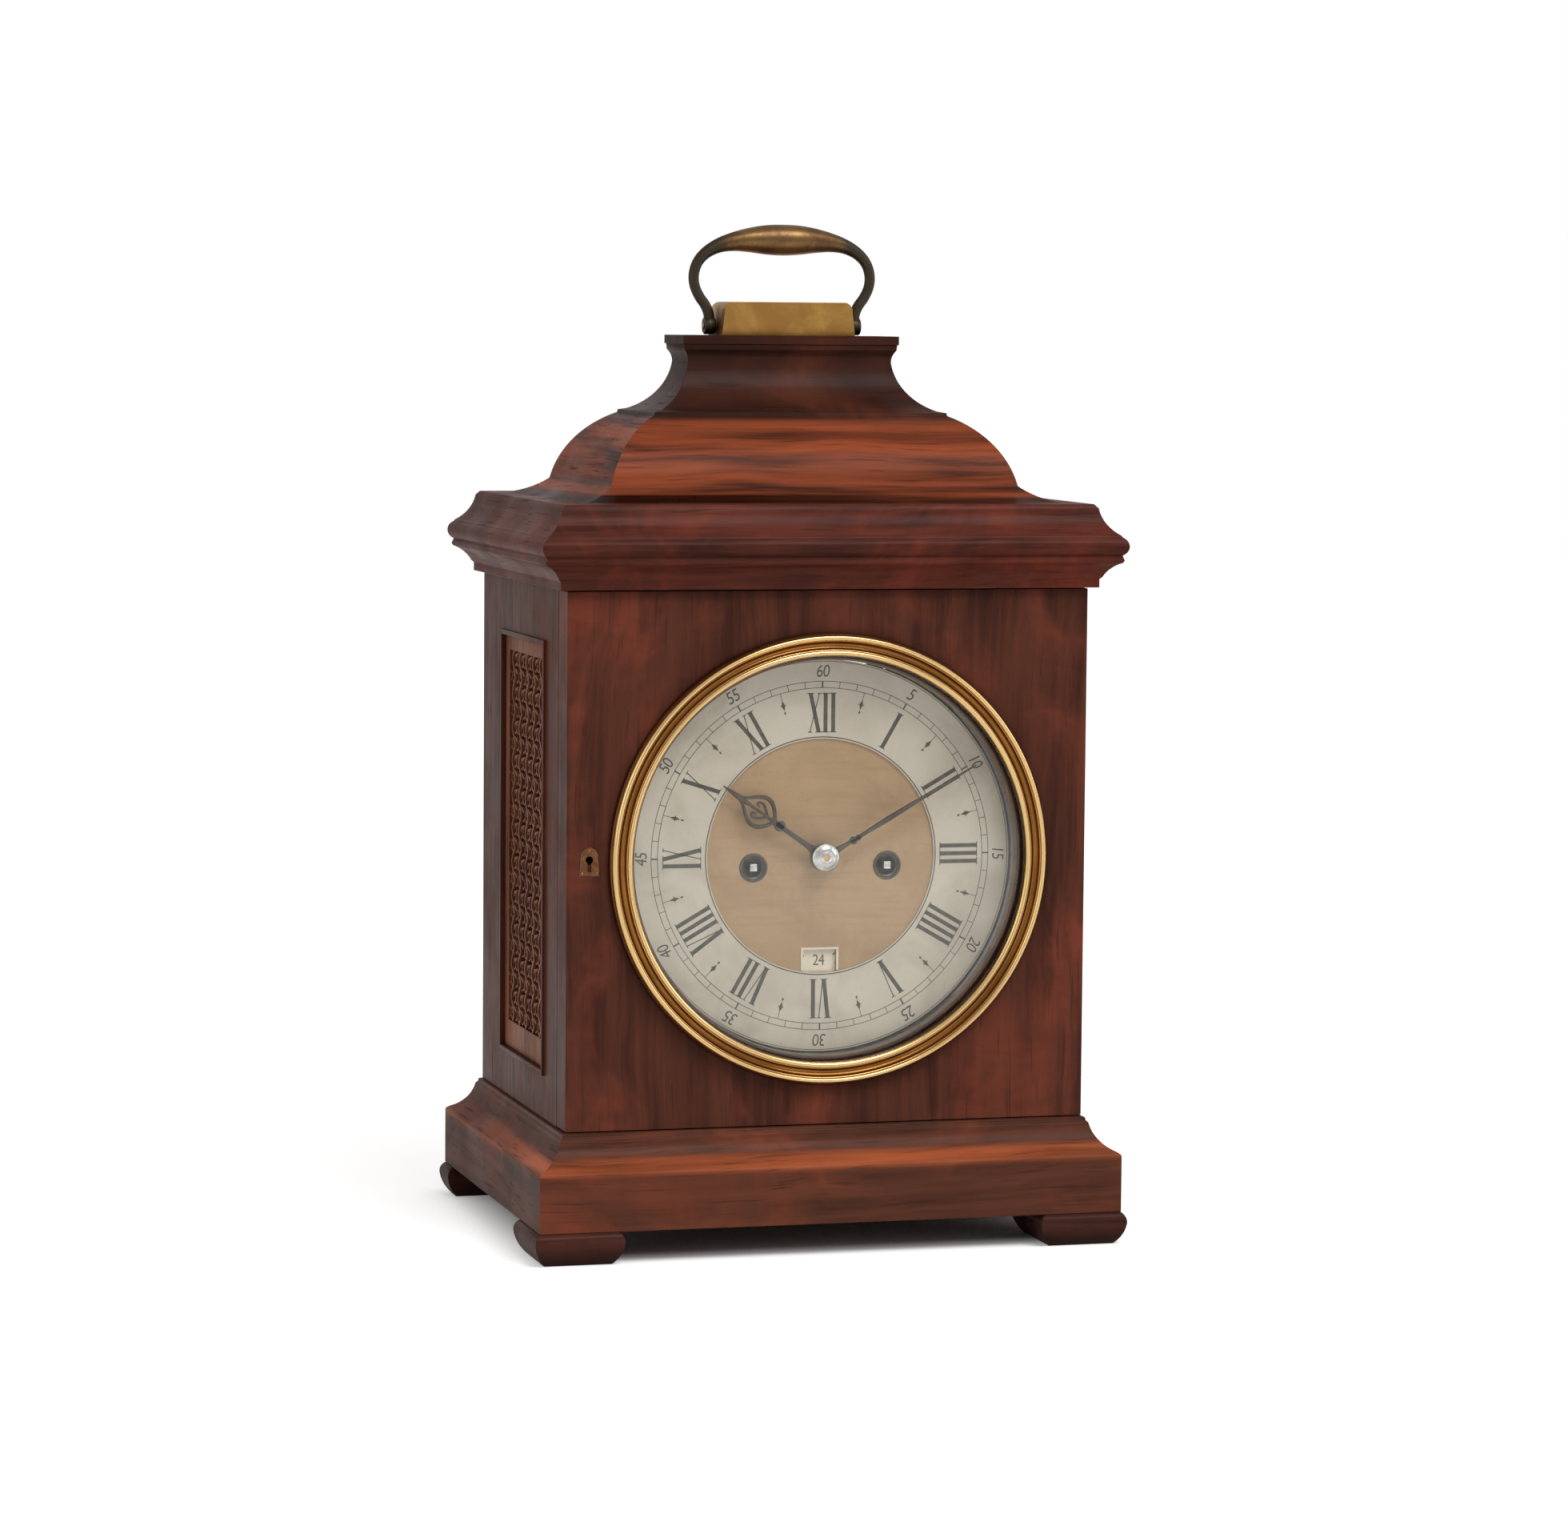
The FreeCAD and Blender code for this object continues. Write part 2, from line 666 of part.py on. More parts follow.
def case_pieces():
    node("bracket_feet", shaped("bracket_feet", bracket_feet()))
    node("plinth_moulding", shaped("plinth_moulding", plinth_moulding()))
    wide, deep = (-S.half_width, S.half_width), (-S.half_depth, S.half_depth)
    node("bottom_board", box("bottom_board", wide, deep, (S.case_floor - S.floor_thick, S.case_floor)))
    node("left_side", shaped("left_side", side_board(-1)))
    node("right_side", shaped("right_side", side_board(1)))
    node("side_frets", shaped("side_frets", side_frets()))

    silks = []
    half = S.fret_width / 2 + S.fret_lap - 0.2
    back = S.half_width - S.fret_recess - S.fret_thick
    height = (S.fret_bottom - S.fret_lap + 0.2, S.fret_bottom + S.fret_height + S.fret_lap - 0.2)
    for name, x in (("left", (-back, S.silk_thick - back)), ("right", (back - S.silk_thick, back))):
        silks.append(box(f"{name}_silk", x, (-half, half), height))
    node("fret_silks", group("fret_silks", *silks))

    rails = []
    between = (-S.inner_x, S.inner_x)
    front = (S.carcass_front, S.carcass_front + S.rail_thick)
    rear = (S.rear_front - S.door_play - S.rail_thick, S.rear_front - S.door_play)
    for name, y in (("front", front), ("rear", rear)):
        rails.append(box(f"{name}_low", between, y, (S.case_floor, S.case_floor + S.rail_thick)))
        rails.append(box(f"{name}_high", between, y, (S.case_top - S.rail_thick, S.case_top)))
    node("case_rails", group("case_rails", *rails))

    seat_low = S.seat_top - S.seat_thick
    y = (S.plate_front - 3, S.plate_back + 3)
    board = box("seat_board", (0.3 - S.inner_x, S.inner_x - 0.3), y, (seat_low, S.seat_top))
    holes = [
        rod("bolt_hole", "z", (x, S.seat_y), (seat_low - 1, S.seat_top + 1), BOLT_RADIUS + 0.2)
        for x in (-S.foot_pillar_x, S.foot_pillar_x)
    ]
    cleats = [
        box("cleat", x, y, (seat_low - S.seat_thick, seat_low))
        for x in ((-S.inner_x, 10 - S.inner_x), (S.inner_x - 10, S.inner_x))
    ]
    node("seat_board", group("seat_board_and_cleats", cut("bored_seat", board, *holes), *cleats))

    node("cornice_moulding", shaped("cornice_moulding", cornice_moulding()))
    node("bell_top", shaped("bell_top", bell_top()))


# ---- the handle -------------------------------------------------------------------------


BOW_RADIUS, TURN_IN, EYE_LAP = 17, 6, 0.2
HALF_GRIP, GRIP_END = 30, 3.2


def bail_path(rod_x, pivot, grip_z):
    """The line of one arm: up from its pivot, out in a small arc and round a large one to the grip."""
    bow_x = 27
    across = rod_x + TURN_IN - bow_x
    reach = BOW_RADIUS + TURN_IN
    drop = math.sqrt(reach**2 - across**2)
    bow = Vector(bow_x, 0, grip_z - BOW_RADIUS)
    turn_in = bow + Vector(across, 0, -drop)
    meeting = bow + (turn_in - bow) * (BOW_RADIUS / reach)
    lean = math.atan2(drop, across)
    start = turn_in - Vector(TURN_IN, 0, 0)
    bent = turn_in + Vector(-math.cos(lean / 2), 0, math.sin(lean / 2)) * TURN_IN
    widest = bow + Vector(BOW_RADIUS, 0, 0)
    top = bow + Vector(0, 0, BOW_RADIUS)
    return Part.Wire([
        Part.makeLine(Vector(rod_x, 0, pivot), start),
        Part.Arc(start, bent, meeting).toShape(),
        Part.Arc(meeting, widest, top).toShape(),
        Part.makeLine(top, top - Vector(7, 0, 0)),
    ])


def handle_pieces():
    top, pivot = N.top_end, N.pivot_z
    high, low = N.mount_half - 1.6, N.mount_half
    rise = top + N.mount_height
    outline = [(low, top), (high + 0.3, rise - 4.5), (high - 4, rise, high - 0.9, rise - 1.2)]
    mount = prism(both_sides(outline), "y", -N.mount_depth / 2, N.mount_depth / 2)
    for x in (-BOLT_X, BOLT_X):
        mount = mount.cut(bar("z", (x, 0), (top - 1, rise - 6), BOLT_RADIUS + 0.05))
    eye_in = N.mount_half + 0.4
    for side in (-1, 1):
        ends = sorted((side * (low - 4), side * (eye_in + 2 * (N.bail_rod + EYE_LAP) + 0.4)))
        mount = mount.fuse(bar("x", (0, pivot), ends, 1.5))
    node("handle_mount", shaped("handle_mount", mount.removeSplitter()))

    rod_x = eye_in + N.bail_rod + EYE_LAP
    grip_z = top + N.grip_rise
    ring = Part.Wire(Part.makeCircle(N.bail_rod, Vector(rod_x, 0, pivot), Vector(0, 0, 1)))
    arm = bail_path(rod_x, pivot, grip_z).makePipeShell([ring], True, False)
    eye_x = (eye_in, eye_in + 2 * (N.bail_rod + EYE_LAP))
    arm = arm.fuse(bar("x", (0, pivot), eye_x, N.pivot_rise - 0.3))
    arm = arm.cut(bar("x", (0, pivot), (eye_in - 1, eye_in + 9), 1.5 + N.running_gap))
    profile = [(-HALF_GRIP, 0), (HALF_GRIP, 0), (HALF_GRIP, GRIP_END)]
    profile += [(0, N.grip_radius, HALF_GRIP / 2, 6.1), (-HALF_GRIP, GRIP_END, -HALF_GRIP / 2, 6.1)]
    grip = Part.Face(Part.Wire(flat_edges(profile))).revolve(Vector(), Vector(1, 0, 0), 360)
    grip.translate(Vector(0, 0, grip_z))
    whole = grip.fuse([arm, arm.mirror(Vector(), Vector(1, 0, 0))])
    node("carrying_handle", shaped("carrying_handle", whole))


# ---- doors and their furniture ------------------------------------------------------------


def front_door():
    """A door over the whole front, bored for the dial, with beds for glass, lock and hinges."""
    front, back = -N.half_depth, N.door_back
    low, high = N.case_floor + N.door_play, N.case_top - N.door_play
    middle = (0, N.dial_z)
    door = block((-N.half_width, N.half_width), (front, back), (low, high))
    door = door.cut(bar("y", middle, (front - 1, back + 1), N.door_hole))
    glass_bed = (front - 1, front + N.glass_thick + 0.1)
    door = door.cut(bar("y", middle, glass_bed, N.glass_radius + 0.4))
    for bed in front_hinges.leaves(-1):
        door = door.cut(bed)
    door = door.cut(block(LOCK_X, (back - LOCK_DEEP, back), LOCK_Z))
    door = door.cut(bar("y", (-N.key_x, KEY_Z), (front - 1, back), 2.2))
    return door.cut(prism(escutcheon_outline(0.0), "y", front, front + ESCUTCHEON_THICK))


ESCUTCHEON_THICK = 0.8


def escutcheon_outline(grow):
    """A small keyhole plate: a round head over a tapering skirt, as (x, z) points."""
    x, z, head = -N.key_x, KEY_Z, 4.2 + grow
    return [
        (x - head, z + 1.5),
        (x + head, z + 1.5, x, z + 1.5 + head),
        (x + head + 0.6, z - 7.5),
        (x - head - 0.6, z - 7.5),
    ]


def key_escutcheon():
    front = -N.half_depth
    x, z = -N.key_x, KEY_Z
    plate = prism(escutcheon_outline(0.0), "y", front, front + ESCUTCHEON_THICK)
    plate = plate.cut(bar("y", (x, z), (front - 1, front + 2), 1.7))
    return plate.cut(block((x - 0.8, x + 0.8), (front - 1, front + 2), (z - 5.5, z)))


def door_lock():
    """A lock let into the back of the door, with a slot for its hook bolt."""
    back = N.door_back
    case = block(LOCK_X, (back - LOCK_DEEP, back), LOCK_Z)
    half = LOCK_BOLT_HALF + 0.2
    low = KEY_Z - 1.7
    slot_x = (LOCK_BOLT_X - half, LOCK_BOLT_X + half)
    case = case.cut(block(slot_x, (back - 6.4, back - 0.4), (low - 5.3, low + 5.3 + LOCK_THROW)))
    case = case.cut(block(slot_x, (back - 1, back + 1), (low - 0.3, low + 3.5 + LOCK_THROW)))
    return case.cut(bar("y", (-N.key_x, KEY_Z), (back - LOCK_DEEP - 1, back - 4), 1.7))


def domed_glass():
    """The profile of a dial glass with a flat rim that its bezel holds."""
    back, front = S.glass_thick + 0.1 - S.half_depth, 0.1 - S.half_depth
    rim, rise, crown = S.sight_radius - 1.5, S.glass_rise, 2
    return [
        (0, back - rise),
        (crown, back - rise),
        (rim, back, N.sight_radius / 2, float(back) - 0.75 * N.glass_rise),
        (S.glass_radius, back),
        (S.glass_radius, front),
        (rim, front),
        (crown, front - rise, N.sight_radius / 2, float(front) - 0.75 * N.glass_rise),
        (0, front - rise),
    ]


def door_pieces():
    node("front_door", shaped("front_door", front_door()))

    front = -S.half_depth
    inner, outer = S.sight_radius, S.bezel_radius
    profile = [
        (inner, front),
        (outer, front),
        (outer, front - 3.0),
        (outer - 4.6, front - 3.6, N.bezel_radius - 2.2, -N.half_depth - N.bezel_proud),
        (inner + 3.6, front - 3.0, N.bezel_radius - 6.2, -N.half_depth - 2.2),
        (inner, front - 3.0, N.sight_radius + 1.8, -N.half_depth - N.bezel_proud + 1.0),
    ]
    node("bezel", turned_body("bezel", "XY_Plane", profile, (0, 0, S.dial_z)))
    node("front_glass", turned_body("front_glass", "XY_Plane", domed_glass(), (0, 0, S.dial_z)))
    node("door_lock", shaped("door_lock", door_lock()))
    node("lock_bolt", shaped("lock_bolt", lock_bolt()))
    node("key_escutcheon", shaped("key_escutcheon", key_escutcheon()))
    halves = Part.makeCompound(front_hinges.half(-1))
    node("front_door_hinges", shaped("front_door_hinges", halves))
    halves = Part.makeCompound(rear_hinges.half(-1))
    node("rear_door_hinges", shaped("rear_door_hinges", halves))
    halves = Part.makeCompound(front_hinges.half(1) + rear_hinges.half(1))
    node("case_hinges", shaped("case_hinges", halves))

    edge = N.inner_x - 2 * REAR_PLAY
    low, high = N.case_floor + N.door_play, N.case_top - N.door_play
    stile = N.rear_stile
    door = block((-edge, edge), (N.rear_front, N.half_depth), (low, high))
    light = (-edge + stile, edge - stile), (low + stile, high - stile)
    door = door.cut(block(light[0], (N.rear_front - 1, N.half_depth + 1), light[1]))
    lap = 5
    pane_x = (light[0][0] - lap, light[0][1] + lap)
    pane_z = (light[1][0] - lap, light[1][1] + lap)
    bed_y = (N.rear_front, N.rear_front + N.glass_thick + 1)
    door = door.cut(block(pane_x, bed_y, pane_z))
    for bed in rear_hinges.leaves(-1):
        door = door.cut(bed)
    node("rear_door", shaped("rear_door", door))
    fit = 0.3
    reach = S.inner_x - 2 * REAR_PLAY - S.rear_stile + lap - fit
    glass_y = (S.rear_front + 1, S.rear_front + S.glass_thick + 1)
    margin = S.door_play + S.rear_stile - lap + fit
    glass_z = (S.case_floor + margin, S.case_top - margin)
    node("rear_glass", box("rear_glass", (-reach, reach), glass_y, glass_z))

    button_x = S.side_thick / 2 - S.half_width
    y = (S.half_depth + 0.3, S.half_depth + 2.5)
    blade = box("button_blade", (button_x - 4, button_x + 4), y, (S.dial_z - 17, S.dial_z + 7))
    screw = rod("button_screw", "y", (button_x, S.dial_z), (S.half_depth + 0.3, S.half_depth + 3.4), 3)
    node("rear_turn_button", fuse("rear_turn_button", blade, screw))


# ---- the dial and hands -------------------------------------------------------------------

DATE_WIDE, DATE_TALL, DATE_DROP = 16, 10.5, 49.2
DIAL_FEET = 66
RING_OUTER, RING_INNER, RING_THICK = 57, 42, 1.2
ROLLER = 2.0


def round_the_dial(count, radius, start=45):
    """Places (x, z) spaced evenly on a circle round the dial centre."""
    for index in range(count):
        angle = math.radians(start + index * 360 / count)
        yield radius * math.cos(angle), N.dial_z + radius * math.sin(angle)


def dial_pieces():
    plate_y = (S.dial_front + S.chapter_thick, S.dial_back)
    plate = rod("dial_blank", "y", (0, S.dial_z), plate_y, S.dial_radius)
    through = (S.dial_front - 1, S.dial_back + 1)
    holes = [
        rod("winding_hole", "y", (side * S.winding_x, S.dial_z - S.winding_drop), through, S.winding_hole)
        for side in (-1, 1)
    ]
    holes.append(rod("hand_hole", "y", (0, S.dial_z), through, 5))
    date_z = (S.dial_z - DATE_DROP - DATE_TALL / 2, S.dial_z - DATE_DROP + DATE_TALL / 2)
    holes.append(box("date_hole", (-DATE_WIDE / 2, DATE_WIDE / 2), through, date_z))
    node("dial_plate", cut("dial_plate", plate, *holes))

    ring_y = (S.dial_front, S.dial_front + S.chapter_thick)
    ring = rod("chapter_blank", "y", (0, S.dial_z), ring_y, S.dial_radius)
    inside = rod("chapter_bore", "y", (0, S.dial_z), through, S.chapter_inner)
    node("chapter_ring", cut("chapter_ring", ring, inside))

    back, front = N.dial_back, N.plate_front
    feet = [bar("y", place, (back, front), 2.5) for place in round_the_dial(4, DIAL_FEET)]
    flange = back + 0.2 + RING_THICK + 0.2
    for place in round_the_dial(4, RING_OUTER + ROLLER + 0.3, 0):
        roller = bar("y", place, (back, flange + 1), ROLLER)
        feet.append(roller.fuse(bar("y", place, (flange, flange + 1), ROLLER + 1.6)).removeSplitter())
    node("dial_feet", shaped("dial_feet", Part.makeCompound(feet)))

    ring_y = (back + 0.2, back + 0.2 + RING_THICK)
    middle = (0, N.dial_z)
    ring = bar("y", middle, ring_y, RING_OUTER)
    ring = ring.cut(bar("y", middle, (ring_y[0] - 1, ring_y[1] + 1), RING_INNER))
    node("calendar_ring", shaped("calendar_ring", ring))


HOUR_PIPE, CANNON_PIPE, CENTRE_PIVOT = 4.0, 2.6, 1.4
HOUR_HAND_Y, MINUTE_HAND_Y, COLLET_Y = 5.2, 8.2, 10.2
HAND_THICK = 0.9


def pointed(half_outline, boss, bore, y, angle):
    """A flat hand over its round boss, laid at an angle clockwise from twelve."""
    hand = prism(both_sides(half_outline), "y", y, y + HAND_THICK)
    hand = hand.fuse(bar("y", (0, 0), (y, y + HAND_THICK), boss)).removeSplitter()
    hand = hand.cut(bar("y", (0, 0), (y - 1, y + 2), bore))
    hand.rotate(Vector(), Vector(0, 1, 0), angle)
    hand.translate(Vector(0, 0, N.dial_z))
    return hand


def hand_pieces():
    face, fit = N.dial_front, 0.03
    long = N.hour_length
    hour = [
        (1.9, 0),
        (1.1, long - 33),
        (1.4, long - 28),
        (5.4, long - 25.5, 3.0, long - 25.0),
        (7.6, long - 19.0, 8.0, long - 23.0),
        (1.3, long - 9.5, 4.6, long - 13.0),
        (0.35, long),
    ]
    y = face - HOUR_HAND_Y
    solid = pointed(hour, 6.6, HOUR_PIPE + fit, y, 0)
    solid.translate(Vector(0, 0, -N.dial_z))
    for side in (-1, 1):
        petal = [(side * 1.3, long - 23.5), (side * 4.4, long - 18.8, side * 5.2, long - 22.2)]
        petal.append((side * 1.3, long - 14.6, side * 2.6, long - 16.0))
        solid = solid.cut(prism(petal, "y", y - 1, y + 2))
    solid.rotate(Vector(), Vector(0, 1, 0), N.hour_angle)
    solid.translate(Vector(0, 0, N.dial_z))
    node("hour_hand", shaped("hour_hand", solid))

    long = N.minute_length
    minute = [(2.1, 0), (1.5, 10), (0.9, 16), (1.35, 34), (0.95, 52), (0.25, long)]
    y = face - MINUTE_HAND_Y
    hand = pointed(minute, 5.0, CANNON_PIPE + fit, y, N.minute_angle)
    node("minute_hand", shaped("minute_hand", hand))

    rim = face - COLLET_Y
    under = y - 0.05
    profile = [
        (CENTRE_PIVOT + N.running_gap, under),
        (6.5, under),
        (6.5, under - 0.5),
        (CENTRE_PIVOT + N.running_gap, rim, 4.6, rim + 0.35),
    ]
    face_of = Part.Face(Part.Wire(flat_edges(profile)))
    dome = face_of.revolve(Vector(), Vector(0, 1, 0), 360)
    node("hand_collet", shaped("hand_collet", dome, (0, 0, N.dial_z)))


# ---- wheels and pinions ---------------------------------------------------------------------

# tooth shapes: height over and depth under the pitch circle in modules, then half of the
# tooth's root and tip as shares of the pitch
WHEEL_TOOTH = (1.0, 1.6, 0.30, 0.10)
LEAF = (0.6, 1.7, 0.20, 0.10)
PLATES = (N.plate_front, N.plate_back)
INSIDE = (N.inside_front, N.inside_back)


def polar(place, radius, angle):
    """A place at a distance and an angle (degrees, anticlockwise from X) in the XZ plane."""
    turn = math.radians(angle)
    return place[0] + radius * math.cos(turn), place[1] + radius * math.sin(turn)


def toothed(teeth, module, place, y, aim, tooth):
    """A toothed blank whose teeth start from the angle that it is aimed at."""
    over, under, root, tip = tooth
    pitch_radius, step = teeth * module / 2, 360 / teeth
    corners = ((-under, -root), (over, -tip), (over, tip), (-under, root))
    outline = [
        polar(place, pitch_radius + height * module, aim + (index + share) * step)
        for index in range(teeth)
        for height, share in corners
    ]
    return prism(outline, "y", *y)


def crossed(blank, place, y, rim, hub, bore, spokes=4, spoke=2.4):
    """A wheel blank bored for its arbor and cut away between its spokes."""
    past = (y[0] - 1, y[1] + 1)
    blank = blank.cut(bar("y", place, past, bore))
    if rim - hub < 3:
        return blank
    window = bar("y", place, past, rim).cut(bar("y", place, (past[0] - 1, past[1] + 1), hub))
    for index in range(spokes):
        arm = block((0, rim + 1), (past[0] - 1, past[1] + 1), (-spoke / 2, spoke / 2))
        arm.rotate(Vector(), Vector(0, 1, 0), index * 360 / spokes)
        arm.translate(Vector(place[0], 0, place[1]))
        window = window.cut(arm)
    return blank.cut(window)


def wheel(teeth, module, place, front, aim, bore, thick=None):
    """A spoked wheel with its front face at a height on its arbor."""
    y = (front, front + (thick or N.wheel_thick))
    rim = teeth * module / 2 - 1.6 * module - 2.0
    blank = toothed(teeth, module, place, y, aim, WHEEL_TOOTH)
    return crossed(blank, place, y, rim, 2.2 * bore + 1.2, bore)


def arbor(place, radius, pivot, front=None, back=None):
    """A steel arbor between the plates with a pivot in each of them."""
    ends = (INSIDE[0] + 0.2, INSIDE[1] - 0.2)
    shaft = bar("y", place, ends, radius)
    return shaft.fuse(bar("y", place, (front or PLATES[0], back or PLATES[1]), pivot))


def with_pinion(shaft, module, place, front, aim, long=4.5):
    """An arbor with a pinion, one of whose gaps faces the wheel that drives it."""
    leaves = int(N.pinion_leaves)
    y = (front, front + long)
    return shaft.fuse(toothed(leaves, module, place, y, aim + 180 / leaves, LEAF))


def bearing(from_place, distance, angle):
    """The next arbor of a train, and the angle that looks back from it."""
    return polar(from_place, distance, angle), angle + 180


def centres(teeth, module):
    """How far a wheel's arbor stands from that of the pinion it drives."""
    return (teeth + N.pinion_leaves) * module / 2


CENTRE = (0, N.dial_z)
GOING = (N.winding_x, N.dial_z - N.winding_drop)
STRIKE = (-N.winding_x, N.dial_z - N.winding_drop)
GOING_AIM = math.degrees(math.atan2(N.winding_drop, -N.winding_x))
GREAT_MODULE = 2 * math.hypot(N.winding_x, N.winding_drop) / (N.great_teeth + N.pinion_leaves)
THIRD_ANGLE = 70
THIRD, THIRD_BACK = bearing(CENTRE, centres(N.centre_teeth, N.centre_module), THIRD_ANGLE)
ESCAPE_LIFT = math.sqrt(centres(N.third_teeth, N.third_module) ** 2 - THIRD[0] ** 2)
ESCAPE = (0, THIRD[1] + ESCAPE_LIFT)
ESCAPE_AIM = math.degrees(math.atan2(ESCAPE_LIFT, -THIRD[0]))
PALLET = (0, ESCAPE[1] + N.escape_radius * math.sqrt(2))
PIN, PIN_BACK = bearing(STRIKE, centres(N.strike_teeth, N.strike_module), 97.5)
GATHERING, GATHERING_BACK = bearing(PIN, centres(N.pin_teeth, N.pin_module), 40)
WARNING, WARNING_BACK = bearing(GATHERING, centres(N.gathering_teeth, N.gathering_module), 100)
FLY, FLY_BACK = bearing(WARNING, centres(N.warning_teeth, N.warning_module), 70)
HAMMER = (PIN[0] - 14, PIN[1] + 15.6)
MINUTE, MINUTE_BACK = bearing(CENTRE, N.motion_teeth * N.motion_module, -50)
HOUR_MODULE = 2 * N.motion_teeth * N.motion_module / (N.hour_teeth + N.pinion_leaves)
BARRELS = [(side * N.barrel_x, N.dial_z - N.barrel_drop) for side in (1, -1)]

# how far each wheel's front face stands behind the front plate
GREAT_AT, CENTRE_AT, THIRD_AT, ESCAPE_AT = 50, 6, 19, 44
PIN_AT, GATHERING_AT, WARNING_AT = 16, 34, 7
FUSEE_FROM, FUSEE_TO = 9, 48.6
BARREL_FROM, BARREL_TO = 6, 46
GREAT_THICK = 2.5

# arbors: place, radius between the plates and radius of the pivots
ARBORS = {
    "going": (GOING, 3.0, 2.4),
    "strike": (STRIKE, 3.0, 2.4),
    "centre": (CENTRE, CENTRE_PIVOT, CENTRE_PIVOT),
    "third": (THIRD, 1.1, 0.8),
    "escape": (ESCAPE, 0.85, 0.6),
    "pallet": (PALLET, 1.0, 0.9),
    "pin": (PIN, 1.3, 0.9),
    "gathering": (GATHERING, 1.0, 0.7),
    "warning": (WARNING, 0.9, 0.6),
    "fly": (FLY, 0.8, 0.6),
    "hammer": (HAMMER, 1.2, 0.9),
}
BARREL_ARBOR = 2.5


def inside(at):
    return N.inside_front + at


def plate(y):
    """A brass plate bored for every arbor that runs in it."""
    low = N.seat_top
    shape = block((-N.plate_width / 2, N.plate_width / 2), y, (low, low + N.plate_height))
    holes = [bar("y", at, (y[0] - 1, y[1] + 1), pivot + N.running_gap) for at, _, pivot in ARBORS.values()]
    holes += [bar("y", at, (y[0] - 1, y[1] + 1), BARREL_ARBOR) for at in BARRELS]
    return shape.cut(holes)


def fusee(place, teeth, module, aim):
    """A fusee with its great wheel, on an arbor whose square comes up to the dial."""
    start, end = inside(FUSEE_FROM), inside(FUSEE_TO)
    _, radius, pivot = ARBORS["going"]
    shaft = arbor(place, radius, pivot)
    half = 1.65
    x, z = (place[0] - half, place[0] + half), (place[1] - half, place[1] + half)
    shaft = shaft.fuse(block(x, (N.dial_front + 0.3, N.plate_front), z))
    waist = 0.5 * (N.fusee_narrow + N.fusee_wide) - 1.5
    outline = [(radius, start), (N.fusee_narrow, start), (N.fusee_narrow, start + 1.5)]
    outline += [(N.fusee_wide, end - 1.5, waist, (start + end) / 2), (N.fusee_wide, end), (radius, end)]
    cone = Part.Face(Part.Wire(flat_edges(outline))).revolve(Vector(), Vector(0, 1, 0), 360)
    cone.translate(Vector(place[0], 0, place[1]))
    great = wheel(teeth, module, place, inside(GREAT_AT), aim, radius, GREAT_THICK)
    return Part.makeCompound([shaft, cone, great])


def barrel(place):
    """A hollow drum that turns on its arbor, with the mainspring inside."""
    y = (inside(BARREL_FROM), inside(BARREL_TO))
    wall = 1.5
    drum = bar("y", place, y, N.barrel_radius)
    drum = drum.cut(bar("y", place, (y[0] + wall, y[1] - wall), N.barrel_radius - wall))
    return drum.cut(bar("y", place, (y[0] - 1, y[1] + 1), BARREL_ARBOR + N.running_gap))


def mainspring(place):
    """A flat spiral of half turns between the barrel's arbor and its wall."""
    y = (inside(BARREL_FROM) + 2, inside(BARREL_TO) - 2)
    turns, thick = 7, 0.45
    start, step = BARREL_ARBOR + 1.5, (N.barrel_radius - BARREL_ARBOR - 4.5) / turns / 2

    def arcs(offset):
        points = []
        for index in range(2 * turns + 1):
            side = 1 if index % 2 == 0 else -1
            points.append((side * (start + step * index + offset), 0))
        return points

    def spiral(points, back):
        edges = []
        for index, (near, far) in enumerate(zip(points, points[1:])):
            middle, radius = (near[0] + far[0]) / 2, abs(near[0] - far[0]) / 2
            top = Vector(middle, radius if index % 2 == 0 else -radius, 0)
            edges.append(Part.Arc(Vector(*near, 0), top, Vector(*far, 0)).toShape())
        return edges[::-1] if back else edges

    inner, outer = arcs(0), arcs(thick)
    edges = spiral(inner, False)
    edges.append(Part.makeLine(Vector(*inner[-1], 0), Vector(*outer[-1], 0)))
    edges += spiral(outer, True)
    edges.append(Part.makeLine(Vector(*outer[0], 0), Vector(*inner[0], 0)))
    coil = Part.Face(Part.Wire(edges)).extrude(Vector(0, 0, y[1] - y[0]))
    coil.rotate(Vector(), Vector(1, 0, 0), 90)
    coil.translate(Vector(place[0], y[1], place[1]))
    return coil


def fusee_line(barrel_place, fusee_place, at):
    """The gut that runs straight from a barrel to its fusee, on the outer side of both."""
    thick, seat_gap = 0.7, 0.1
    share = (at - FUSEE_FROM) / (FUSEE_TO - FUSEE_FROM)
    cone = N.fusee_narrow + (N.fusee_wide - N.fusee_narrow) * share
    near, far = (radius + thick + seat_gap for radius in (N.barrel_radius, cone))
    x, z = fusee_place[0] - barrel_place[0], fusee_place[1] - barrel_place[1]
    apart = math.hypot(x, z)
    along = (near - far) / apart
    aside = math.copysign(math.sqrt(1 - along**2), barrel_place[0])
    normal = (x * along + z * aside) / apart, (z * along - x * aside) / apart
    start = Vector(barrel_place[0] + near * normal[0], inside(at), barrel_place[1] + near * normal[1])
    end = Vector(fusee_place[0] + far * normal[0], inside(at), fusee_place[1] + far * normal[1])
    return Part.makeCylinder(thick, (end - start).Length, start, end - start)


